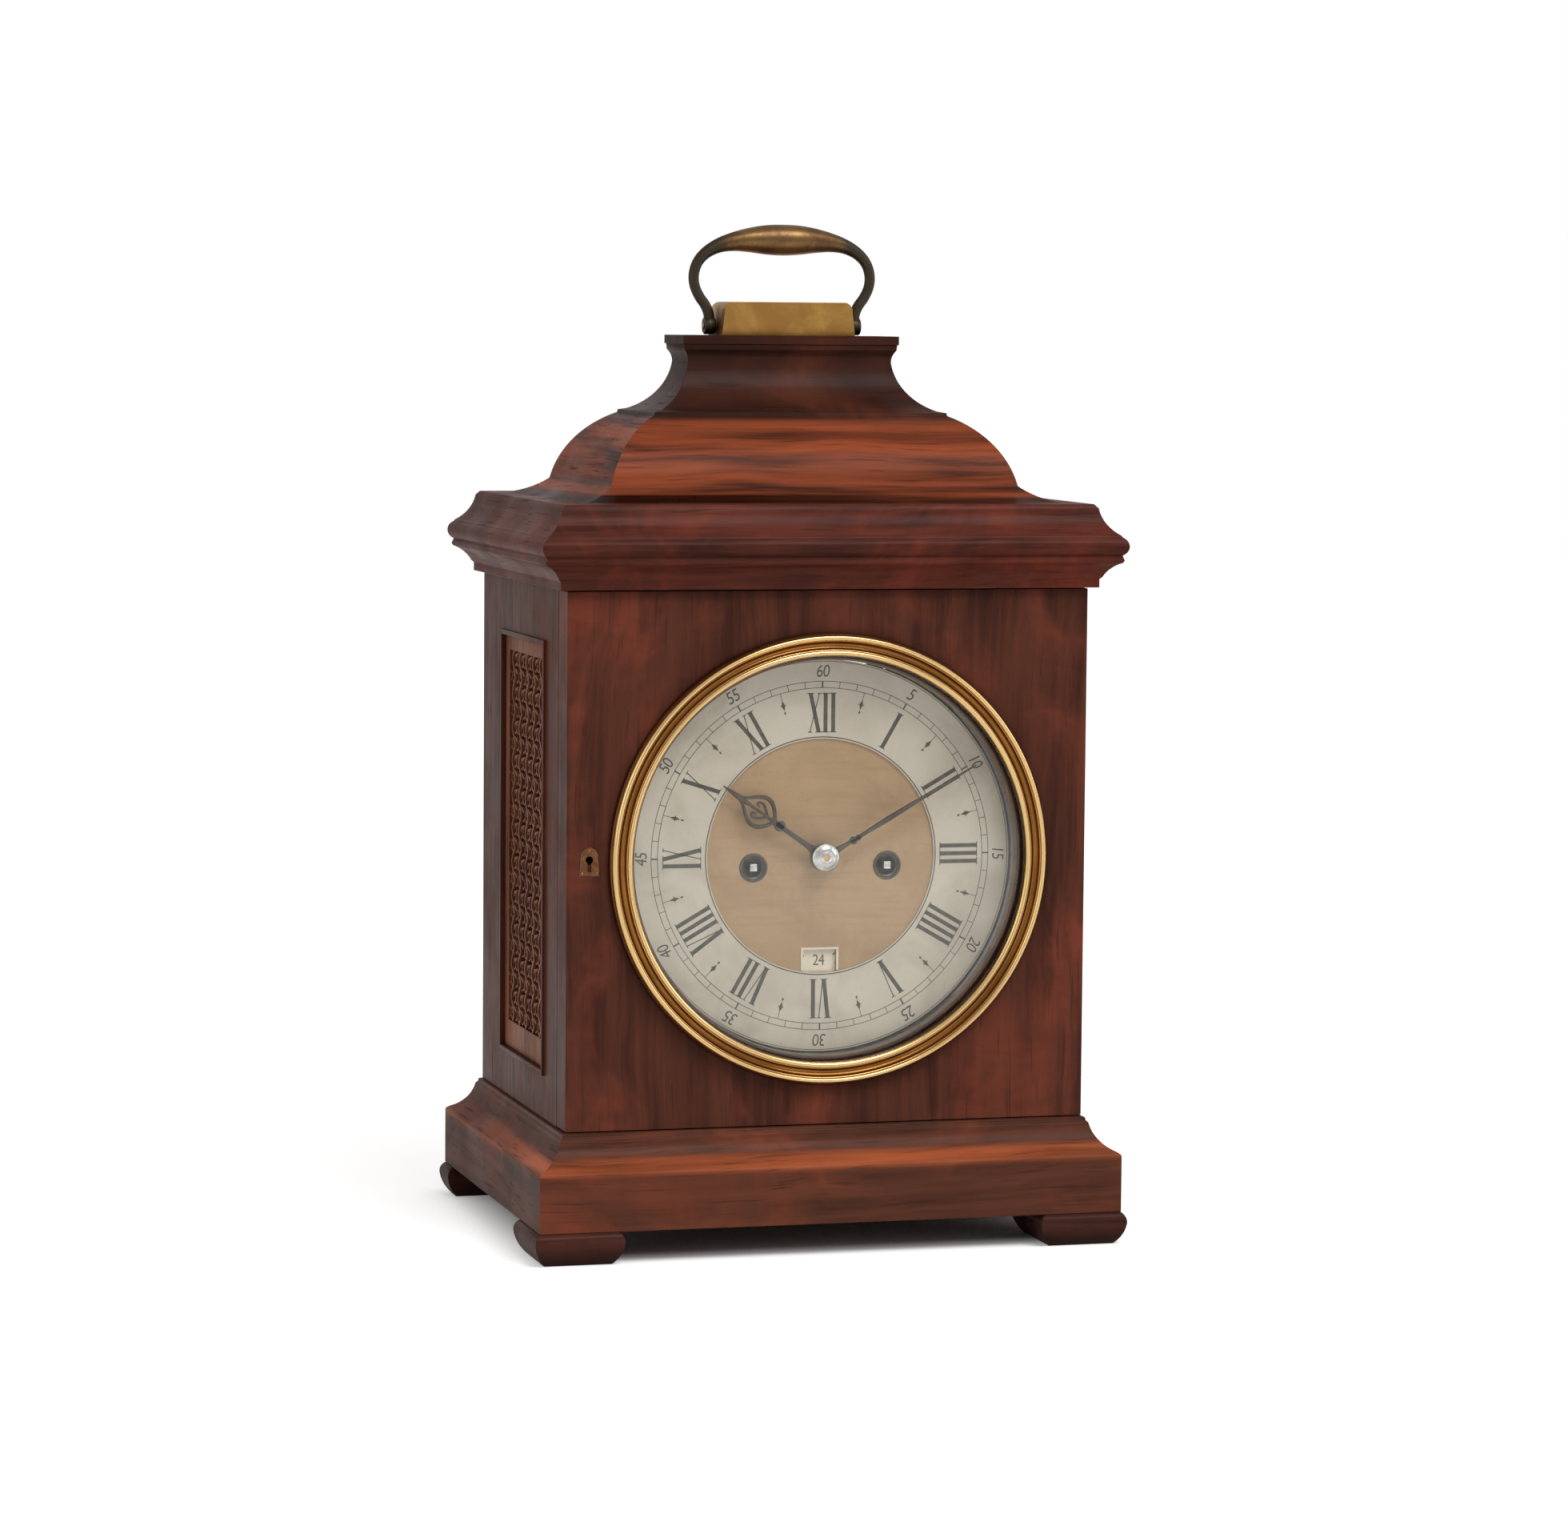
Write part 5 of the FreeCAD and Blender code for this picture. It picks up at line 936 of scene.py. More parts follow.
class Engraver:
    """A hand that fills one mesh with fine raised wax strokes, placed round a centre on a face."""

    def __init__(self, centre: Sequence[float], proud: float = 0.00004, sunk: float = 0.00003) -> None:
        """Start with nothing engraved.

        Args:
            centre: The middle of the face.
            proud: How far the wax stands over the face.
            sunk: How far it reaches under the face.
        """
        self.form = bmesh.new()
        self.centre = Vector(centre)
        self.proud, self.sunk = proud, sunk

    def frame(self, angle: float, inward: bool = False) -> Matrix:
        """The place of a mark that stands on a spoke, with Y along the spoke and Z out of the face.

        Args:
            angle: The spoke, clockwise from twelve, in degrees.
            inward: Whether Y runs to the centre.

        Returns:
            The matrix.
        """
        way = -1 if inward else 1
        turn = math.radians(angle)
        right = Vector((math.cos(turn), 0, -math.sin(turn))) * way
        out = Vector((math.sin(turn), 0, math.cos(turn))) * way
        stand = Matrix((right, out, Vector((0, -1, 0)))).transposed()
        return Matrix.Translation(self.centre) @ stand.to_4x4()

    def bar(self, angle: float, start: tuple[float, float], end: tuple[float, float], width: float) -> None:
        """Engrave a straight stroke.

        Args:
            angle: The spoke that it is placed from.
            start: Its start, across the spoke and along it.
            end: Its end.
            width: Its width.
        """
        start, end = Vector((*start, 0)), Vector((*end, 0))
        run = end - start
        middle = (start + end) / 2 + Vector((0, 0, (self.proud - self.sunk) / 2))
        size = Matrix.Diagonal((run.length, width, self.proud + self.sunk, 1))
        lie = Matrix.Translation(middle) @ Matrix.Rotation(math.atan2(run.y, run.x), 4, "Z") @ size
        bmesh.ops.create_cube(self.form, size=1.0, matrix=self.frame(angle) @ lie)

    def circle(self, radius: float, width: float) -> None:
        """Engrave a circle.

        Args:
            radius: Its radius.
            width: Its width.
        """
        low, high = radius - width / 2, radius + width / 2
        turned(self.form, [(low, -self.sunk), (high, -self.sunk), (high, self.proud), (low, self.proud)],
               self.centre, steps=180)

    def diamond(self, angle: float, out: float, half_wide: float, half_tall: float) -> None:
        """Engrave a diamond.

        Args:
            angle: The spoke that it stands on.
            out: How far along the spoke its middle is.
            half_wide: Half of its width.
            half_tall: Half of its height.
        """
        where = self.frame(angle) @ Matrix.Translation((0, out, (self.proud - self.sunk) / 2))
        size = Matrix.Diagonal((half_wide, half_tall, self.proud + self.sunk, 1))
        square = Matrix.Rotation(math.pi / 4, 4, "Z") @ Matrix.Diagonal((2**0.5, 2**0.5, 1, 1))
        bmesh.ops.create_cube(self.form, size=1.0, matrix=where @ size @ square)

    def figure(self, text: str, angle: float, out: float, size: float, inward: bool = False,
               lean: float = 0.0) -> None:
        """Engrave a number.

        Args:
            text: The number.
            angle: The spoke that it stands on.
            out: How far along the spoke its middle is.
            size: The size of its type.
            inward: Whether its head points to the centre.
            lean: How much it leans.
        """
        curve = bpy.data.curves.new("figure", "FONT")
        curve.body, curve.size, curve.shear = text, size, lean
        curve.align_x, curve.align_y = "CENTER", "CENTER"
        curve.extrude, curve.resolution_u = (self.proud + self.sunk) / 2, 3
        curve.space_character = 0.9
        holder = bpy.data.objects.new("figure", curve)
        bpy.context.scene.collection.objects.link(holder)
        bpy.context.view_layer.update()
        mesh = bpy.data.meshes.new_from_object(holder)
        bpy.data.objects.remove(holder)
        along = -out if inward else out
        lift = Matrix.Translation((0, along, (self.proud - self.sunk) / 2))
        narrow = Matrix.Diagonal((0.86, 1, 1, 1))
        stamp(self.form, mesh, self.frame(angle, inward) @ lift @ narrow)


class Roman:
    """Roman hours as an engraver cuts them, with heavy and hair strokes and serifs, in millimetres."""

    HOURS = ("I", "II", "III", "IIII", "V", "VI", "VII", "VIII", "IX", "X", "XI", "XII")
    WIDTHS = {"I": 3.7, "V": 6.6, "X": 6.8}
    HEAVY, HAIR, SERIF = 1.9, 0.45, 0.4
    SERIF_REACH = 0.75

    def __init__(self, burin: Engraver, foot: float, head: float) -> None:
        """Take the engraver and the circles that the hours stand between.

        Args:
            burin: The engraver.
            foot: The radius that the hours' feet stand on, in millimetres.
            head: The radius that their heads reach, in millimetres.
        """
        self.burin, self.foot, self.head = burin, foot, head

    def stroke(self, angle: float, low: float, high: float, width: float) -> None:
        """Cut one stroke with its serifs.

        Args:
            angle: The hour's spoke.
            low: Where its foot is, across the spoke.
            high: Where its head is.
            width: Its width.
        """
        self.burin.bar(angle, (low * MM, self.foot * MM), (high * MM, self.head * MM), width * MM)
        reach = width / 2 + self.SERIF_REACH
        for middle, end in ((low, self.foot), (high, self.head)):
            left, right = in_metres(((middle - reach, end), (middle + reach, end)))
            self.burin.bar(angle, left, right, self.SERIF * MM)

    def cut(self) -> None:
        """Cut the twelve hours."""
        for number, hour in enumerate(self.HOURS, start=1):
            angle = number * 30
            x = -sum(self.WIDTHS[letter] for letter in hour) / 2
            for letter in hour:
                middle = x + self.WIDTHS[letter] / 2
                x += self.WIDTHS[letter]
                if letter == "I":
                    self.stroke(angle, middle, middle, self.HEAVY)
                elif letter == "V":
                    self.stroke(angle, middle, middle - 2.0, self.HEAVY)
                    self.stroke(angle, middle + 0.5, middle + 2.3, self.HAIR)
                else:
                    self.stroke(angle, middle + 2.0, middle - 2.0, self.HEAVY)
                    self.stroke(angle, middle - 2.2, middle + 2.2, self.HAIR)


@dataclass
class Assembly:
    """Pieces of the clock that are built and dressed together."""

    stock: Stock
    record: dict

    def __post_init__(self) -> None:
        """Read which body and slot each node has."""
        groups = self.record["behaviour"]["bodies"]
        self.body_of = {node: body for body, nodes in groups.items() for node in nodes}
        self.slot_of = {item["node"]: item["material_slot"] for item in self.record["subparts"]}

    def keep(self, name: str, form: Form, like: str, finish: str, stands_for: Iterable[str] = (),
             ease: float = 0.0, sharp: float = 32.0, out: bool = True) -> Piece:
        """Make a finished piece from a mesh under work.

        Args:
            name: The piece's name.
            form: The mesh under work, which is used up.
            like: The node whose body it shares.
            finish: The finish's name.
            stands_for: The nodes that it replaces.
            ease: The width of its worn edges.
            sharp: The angle in degrees from which an edge stays sharp.
            out: Whether its faces are turned to point outwards.

        Returns:
            The piece.
        """
        if out:
            bmesh.ops.recalc_face_normals(form, faces=form.faces)
        mesh = bpy.data.meshes.new(name)
        form.to_mesh(mesh)
        form.free()
        mesh.materials.clear()
        mesh.materials.append(self.stock.get(finish))
        piece = bpy.data.objects.new(name, mesh)
        bpy.context.scene.collection.objects.link(piece)
        mesh.shade_smooth()
        mesh.set_sharp_from_angle(angle=math.radians(sharp))
        if ease:
            bevel = piece.modifiers.new("worn_edges", "BEVEL")
            bevel.width = ease
            bevel.segments = 2
            bevel.limit_method = "ANGLE"
            bevel.angle_limit = math.radians(sharp)
            bevel.harden_normals = True
            bevel.use_clamp_overlap = True
        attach(piece, self.body_of[like])
        if stands_for:
            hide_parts(*stands_for)
        LOG.info("%s rides on %s", name, self.body_of[like])
        return piece

    def copied(self, node: str) -> Form:
        """A node's mesh, joined up and with its flat faces whole.

        Args:
            node: The node.

        Returns:
            The mesh under work.
        """
        form = bmesh.new()
        form.from_mesh(bpy.data.objects[node].data)
        bmesh.ops.remove_doubles(form, verts=form.verts, dist=2e-6)
        bmesh.ops.dissolve_limit(form, angle_limit=math.radians(0.6), verts=form.verts, edges=form.edges)
        return form

    def eased(self, node: str, finish: str, ease: float) -> Piece:
        """A node as it is, with worn edges and smooth rounds.

        Args:
            node: The node.
            finish: The finish's name.
            ease: The width of its worn edges.

        Returns:
            The piece that stands for it.
        """
        return self.keep(f"{node}_worn", self.copied(node), node, finish, [node], ease, out=False)


# ---- the studio -------------------------------------------------------------------------


@dataclass
class Studio:
    """The camera of the photograph, a pale floor and soft lights."""

    yaw: float = math.radians(-15.512)
    pitch: float = math.radians(4.948)
    roll: float = math.radians(0.484)
    target: Vector = field(default_factory=lambda: Vector((2.96, 0, 220.7)) * MM)
    distance: float = 2.4987
    lens: float = 119.9
    sensor: float = 36.0
    floor_size: float = 12.0
    near_glow: float = 0.55
    far_glow: float = 0.8
    near_edge: tuple[float, float] = (-0.02, 0.03)
    far_edge: tuple[float, float] = (0.15, 1.1)
    gloss_share: float = 0.3
    # Half the size of the patch under the clock where the floor has no glow: a painted shadow.
    shade_half: tuple[float, float] = (0.128, 0.094)
    room_tint: Colour = (1.0, 0.99, 0.975, 1)
    room_light: float = 0.42
    aim: tuple[float, float, float] = (0, 0, 0.24)

    LAMPS = {
        "high_front": ((0.55, -1.6, 2.3), (1.7, 1.2), 40),
        "left_window": ((-2.2, -0.9, 0.9), (1.4, 1.6), 7),
        "right_window": ((2.2, -0.9, 1.1), (1.4, 1.6), 12),
    }

    def camera(self) -> None:
        """Set up the camera."""
        data = bpy.data.cameras.new("photo_camera")
        data.sensor_fit = "HORIZONTAL"
        data.sensor_width = self.sensor
        data.lens = self.lens
        data.clip_start, data.clip_end = 0.05, 50
        camera = bpy.data.objects.new("photo_camera", data)
        bpy.context.scene.collection.objects.link(camera)
        level = math.cos(self.pitch)
        back = Vector((math.sin(self.yaw) * level, -math.cos(self.yaw) * level, math.sin(self.pitch)))
        right = Vector((math.cos(self.yaw), math.sin(self.yaw), 0))
        up = back.cross(right)
        turn = Matrix((right, up, back)).transposed() @ Matrix.Rotation(self.roll, 3, "Z")
        camera.matrix_world = Matrix.Translation(self.target + back * self.distance) @ turn.to_4x4()
        bpy.context.scene.camera = camera

    def lamp(self, name: str, place: Sequence[float], size: Sequence[float], power: float) -> None:
        """Add a soft oval lamp.

        Args:
            name: The lamp's name.
            place: Where it stands.
            size: Its width and height.
            power: Its power in watts.
        """
        data = bpy.data.lights.new(name, "AREA")
        data.shape = "ELLIPSE"
        data.size, data.size_y = size
        data.energy = power
        lamp = bpy.data.objects.new(name, data)
        bpy.context.scene.collection.objects.link(lamp)
        lamp.location = place
        lamp.rotation_euler = (Vector(self.aim) - Vector(place)).to_track_quat("-Z", "Y").to_euler()

    def floor(self) -> None:
        """Lay the pale floor, which is seen as white wherever no shadow falls on it, with a painted shadow
        under the clock where its glow is taken away.
        """
        form = bmesh.new()
        bmesh.ops.create_grid(form, x_segments=1, y_segments=1, size=self.floor_size / 2)
        mesh = bpy.data.meshes.new("pale_floor")
        form.to_mesh(mesh)
        form.free()
        floor = bpy.data.objects.new("pale_floor", mesh)
        bpy.context.scene.collection.objects.link(floor)
        bench = Bench("pale_floor")
        cloud = bench.noise(bench.place(), 3, 3)
        colour = bench.blend(bench.between(cloud, 0.3, 0.7), tone(250, 250, 249), tone(246, 246, 246))
        bench.finish(colour, 0.9, Specular_IOR_Level=0.0)
        rays = bench.node("LightPath").outputs
        seen = bench.sums("MAXIMUM", rays["Is Camera Ray"], rays["Is Transmission Ray"])
        glossy = bench.sums("MULTIPLY", rays["Is Glossy Ray"], self.gloss_share)
        seen = bench.sums("MAXIMUM", seen, glossy)
        # Painted shadow: the floor's glow fades to nothing under the clock.
        beside, behind = (bench.sums("SUBTRACT", bench.sums("ABSOLUTE", axis), half)
                          for axis, half in zip(bench.parts(), self.shade_half))
        away = bench.sums("MAXIMUM", beside, behind)
        near = bench.between(away, *self.near_edge, (0.0, self.near_glow))
        far = bench.between(away, *self.far_edge, (0.0, self.far_glow - self.near_glow))
        glow = bench.node("Emission")
        bench.feed(glow.inputs["Strength"], bench.sums("MULTIPLY", seen, bench.sums("ADD", near, far)))
        both = bench.node("AddShader")
        bench.feed(both.inputs[0], bench.shader.outputs[0])
        bench.feed(both.inputs[1], glow.outputs[0])
        bench.feed(bench.tree.nodes["Material Output"].inputs[0], both.outputs[0])
        mesh.materials.append(bench.material)

    def world(self) -> None:
        """Make the white surroundings."""
        world = bpy.data.worlds.new("white_room")
        bpy.context.scene.world = world
        world.use_nodes = True
        tree = world.node_tree
        tree.nodes.clear()
        rays = tree.nodes.new("ShaderNodeLightPath").outputs
        either = tree.nodes.new("ShaderNodeMath")
        either.operation = "MAXIMUM"
        tree.links.new(rays["Is Camera Ray"], either.inputs[0])
        tree.links.new(rays["Is Transmission Ray"], either.inputs[1])
        seen = tree.nodes.new("ShaderNodeMath")
        seen.operation = "MULTIPLY_ADD"
        tree.links.new(rays["Is Glossy Ray"], seen.inputs[0])
        seen.inputs[1].default_value = self.gloss_share
        tree.links.new(either.outputs[0], seen.inputs[2])
        room, white = (tree.nodes.new("ShaderNodeBackground") for _ in range(2))
        for light, tint, strength in ((room, self.room_tint, self.room_light), (white, (1, 1, 1, 1), 1.0)):
            light.inputs["Color"].default_value = tint
            light.inputs["Strength"].default_value = strength
        mixed = tree.nodes.new("ShaderNodeMixShader")
        tree.links.new(seen.outputs[0], mixed.inputs[0])
        tree.links.new(room.outputs[0], mixed.inputs[1])
        tree.links.new(white.outputs[0], mixed.inputs[2])
        tree.links.new(mixed.outputs[0], tree.nodes.new("ShaderNodeOutputWorld").inputs[0])

    def build(self) -> None:
        """Set up the camera, the floor, the lights and the surroundings."""
        self.camera()
        self.floor()
        self.world()
        for name, (place, size, power) in self.LAMPS.items():
            self.lamp(name, place, size, power)
        bpy.context.scene.view_settings.view_transform = "Standard"


# ---- the case ---------------------------------------------------------------------------


@dataclass(frozen=True)
class Oblong:
    """An upright oblong on a side of the case, in millimetres."""

    half: float
    low: float
    high: float


@dataclass
class Case(Assembly):
    """The wooden case, its doors and their fittings, with its sizes in millimetres."""

    fret_back: float = 118.1
    lap: Oblong = Oblong(49.8, 76.2, 285.8)
    lap_face: float = 121.4
    raised: Oblong = Oblong(43.8, 82.2, 279.8)
    raised_face: float = 123.4
    pierced: Oblong = Oblong(36.0, 95.0, 273.0)
    leaf_back: float = 120.2
    columns: int = 5
    rows: int = 22
    swing: float = 2.9
    stem_half: float = 1.05
    stem_depth: float = 2.9
    stem_spill: float = 0.6
    stem_steps: int = 5
    scroll_depth: float = 2.45
    scroll_steps: int = 9
    leaf_depth: float = 3.05
    leaflet_depth: float = 2.55
    leaf_reach: float = 11.6
    leaf_spill: float = 5.0
    silk: Oblong = Oblong(49.6, 76.4, 285.6)
    silk_face: float = 117.6
    silk_puff: float = 0.12
    door_front: float = -90.0
    handle_pivot: float = 428.0

    WOOD = {
        "bracket_feet": ("feet_mahogany", 0.0006),
        "plinth_moulding": ("plinth_mahogany", 0.0004),
        "cornice_moulding": ("moulding_mahogany", 0.0004),
        "bell_top": ("top_mahogany", 0.0005),
        "left_side": ("side_mahogany", 0.0004),
        "right_side": ("side_mahogany", 0.0004),
        "front_door": ("door_mahogany", 0.0006),
        "rear_door": ("side_mahogany", 0.0005),
        "bottom_board": ("inside_wood", 0.0004),
        "case_rails": ("rail_wood", 0.0004),
        "seat_board": ("rail_wood", 0.0004),
    }
    FITTINGS = {
        "front_door_hinges": ("hinge_brass", 0.0001),
        "case_hinges": ("hinge_brass", 0.0001),
        "rear_door_hinges": ("hinge_brass", 0.0001),
        "rear_turn_button": ("hinge_brass", 0.0002),
        "front_glass": ("old_glass", 0.0),
        "rear_glass": ("old_glass", 0.0002),
        "key_escutcheon": ("escutcheon_brass", 0.0001),
        "door_lock": ("hinge_brass", 0.0002),
        "lock_bolt": ("bright_steel", 0.0001),
        "handle_mount": ("mount_brass", 0.0009),
        "holding_bolts": ("dark_steel", 0.0001),
    }

    @property
    def row(self) -> float:
        """The height of one hollow of a fret's stems."""
        return (self.pierced.high - self.pierced.low) / self.rows

    def vine(self) -> bpy.types.Mesh:
        """One winding stem of a fret, lying in the XY plane.

        Returns:
            The stem as a pattern.
        """
        low, high = self.pierced.low - self.stem_spill, self.pierced.high + self.stem_spill
        count = self.rows * self.stem_steps
        line = []
        for step in range(count + 1):
            y = low + (high - low) * step / count
            turn = math.pi * (y - self.pierced.low) / self.row
            line.append((self.swing * math.sin(turn), y, self.stem_half))
        form = bmesh.new()
        ribbon(form, line, self.stem_depth)
        return pattern_of(form)

    def curl(self) -> bpy.types.Mesh:
        """The curling branch and the two leaves that fill one hollow of a stem.

        Returns:
            The branch as a pattern.
        """
        form = bmesh.new()
        line = []
        for step in range(self.scroll_steps):
            turn = math.radians(-62 - step * 42)
            reach = 3.55 - 0.33 * step
            half = 1.15 if step == self.scroll_steps - 1 else 0.85
            line.append((-2.5 + reach * math.cos(turn), 0.3 + reach * math.sin(turn), half))
        ribbon(form, line, self.scroll_depth, 0.6)
        leaf = [(-5.2, 1.4, 0.8), (-6.9, 2.2, 1.45), (-9.0, 2.9, 1.1), (-self.leaf_reach, 3.6, 0.45)]
        ribbon(form, leaf, self.leaf_depth, 0.45)
        leaflet = [(-5.4, -1.6, 0.6), (-7.2, -2.6, 1.05), (-9.2, -3.1, 0.5)]
        ribbon(form, leaflet, self.leaflet_depth, 0.5)
        return pattern_of(form)

    def border(self, form: Form, side: int, face: float, outline: Oblong) -> None:
        """Lay four strips round the pierced field of a fret.

        Args:
            form: The mesh under work.
            side: The side of the case, -1 or 1.
            face: How far out the strips reach.
            outline: Their outer edge.
        """
        x = sorted((side * self.fret_back * MM, side * face * MM))
        inner = (-self.pierced.half, self.pierced.half)
        whole = (outline.low, outline.high)
        for y, z in (((-outline.half, inner[0]), whole), ((inner[1], outline.half), whole),
                     (inner, (outline.low, self.pierced.low)), (inner, (self.pierced.high, outline.high))):
            slab(form, (x[0], y[0] * MM, z[0] * MM), (x[1], y[1] * MM, z[1] * MM))

    def frets(self) -> None:
        """Cut the leafy frets of both sides."""
        form = bmesh.new()
        vine, curl = self.vine(), self.curl()
        gap = 2 * self.pierced.half / self.columns
        for side in (-1, 1):
            out = Matrix(((0, 0, side, side * self.leaf_back), (side, 0, 0, 0), (0, 1, 0, 0), (0, 0, 0, 1)))
            out = Matrix.Scale(MM, 4) @ out
            for number in range(self.columns):
                x = (number - (self.columns - 1) / 2) * gap
                stamp(form, vine, out @ Matrix.Translation((x, 0, 0)))
                for row in range(self.rows):
                    way = -1 if row % 2 else 1
                    if abs(x - way * self.leaf_reach) > self.pierced.half + self.leaf_spill:
                        continue
                    up = self.pierced.low + (row + 0.5) * self.row
                    hollow = Matrix.Translation((x, up, 0)) @ Matrix.Diagonal((way, 1, 1, 1))
                    stamp(form, curl, out @ hollow)
            self.border(form, side, self.lap_face, self.lap)
            self.border(form, side, self.raised_face, self.raised)
        self.keep("leafy_frets", form, "side_frets", "fret_mahogany", ["side_frets"])

    def silks(self) -> None:
        """Stretch a silk behind each fret."""
        wide, long = 2 * self.silk.half * MM, (self.silk.high - self.silk.low) * MM
        for name, side in (("left_silk", -1), ("right_silk", 1)):
            form = bmesh.new()
            bmesh.ops.create_grid(form, x_segments=40, y_segments=84, size=0.5)
            for corner in form.verts:
                across, along = corner.co.x, corner.co.y
                edge = (1 - (2 * across) ** 4) * (1 - (2 * along) ** 4)
                puff = self.silk_puff * MM * edge * math.sin(17 * across + 2) * math.sin(29 * along)
                corner.co = (side * (self.silk_face * MM + puff), across * wide,
                             (self.silk.low * MM + (along + 0.5) * long))
            bmesh.ops.recalc_face_normals(form, faces=form.faces)
            facing = sum(face.normal.x for face in form.faces)
            if facing * side < 0:
                bmesh.ops.reverse_faces(form, faces=form.faces)
            silk = self.keep(name, form, "fret_silks", "faded_silk", ["fret_silks"], out=False)

    def bezel(self) -> None:
        """Turn the bezel with its two beads and the cove between them, and the liner inside it."""
        centre = (0, self.door_front * MM, DIAL_HEIGHT * MM)
        line = [(105.0, 0.2), (105.0, 2.4), (104.9, 3.1), (104.4, 3.9), (103.8, 5.1), (103.1, 5.75),
                (102.3, 5.75), (101.7, 5.2), (101.4, 4.5), (101.1, 4.3), (100.9, 3.7), (100.2, 2.8),
                (99.2, 2.35), (98.2, 2.55), (97.5, 3.2), (97.2, 3.8), (96.9, 3.9), (96.6, 4.5),
                (96.0, 4.9), (95.3, 4.85), (94.6, 4.3), (94.25, 3.5), (94.0, 2.6), (94.0, 0.2)]
        form = bmesh.new()
        turned(form, in_metres([*curve_through(line, 3), (94.6, 0.0), (104.5, 0.0)]), centre, steps=180)
        self.keep("turned_bezel", form, "bezel", "bezel_brass", ["bezel"], sharp=50)
        # The liner is finished in darker brass, as painted shade inside the bezel.
        liner = [(92.95, -2.3), (92.2, -2.4), (91.9, -7.0), (92.1, -11.8), (92.5, -12.3), (92.95, -12.2)]
        form = bmesh.new()
        turned(form, in_metres(liner), centre, steps=180)
        self.keep("sight_liner", form, "bezel", "liner_brass", sharp=50)

    def handle(self) -> None:
        """Forge the bail handle: a swelling grip that runs out into two bowed arms with eyes."""
        half = [(0.0, 468.6, 7.3), (8, 468.65, 6.95), (16, 468.45, 5.85), (24, 467.6, 4.5), (31, 465.8, 3.5),
                (37, 462.6, 2.9), (41.2, 458.2, 2.6), (43.2, 452.6, 2.5), (42.9, 447.0, 2.45),
                (40.6, 441.8, 2.45), (37.6, 437.6, 2.5), (35.9, 433.4, 2.55), (35.7, 429.0, 2.6)]
        mirrored = [(-x, z, radius) for x, z, radius in reversed(half[1:])]
        form = bmesh.new()
        tube(form, curve_through(mirrored + half, 5), 24)
        eye = [(1.58, 33.1), (3.7, 33.1), (4.15, 33.6), (4.15, 37.8), (3.7, 38.3), (1.58, 38.3)]
        for side in (-1, 1):
            turned(form, in_metres(eye), Vector((0, 0, self.handle_pivot)) * MM, (side, 0, 0), 40)
        self.keep("bail_handle", form, "carrying_handle", "handle_bronze", ["carrying_handle"], sharp=45)

    def pins(self) -> None:
        """Pin the escutcheon."""
        head = [(0, 0), (0.75, 0), (0.7, 0.25), (0.4, 0.45), (0, 0.5)]
        form = bmesh.new()
        for x, z in ((-113.8, 188.9), (-117.3, 178.4), (-110.3, 178.4)):
            turned(form, in_metres(head), Vector((x, self.door_front, z)) * MM, steps=12, closed=False)
        self.keep("escutcheon_pins", form, "key_escutcheon", "hinge_brass")

    def build(self) -> None:
        """Build and dress every piece of the case."""
        for node, (finish, ease) in {**self.WOOD, **self.FITTINGS}.items():
            self.eased(node, finish, ease)
        self.bezel()
        self.pins()
        self.handle()
        self.frets()
        self.silks()


# ---- the dial ---------------------------------------------------------------------------


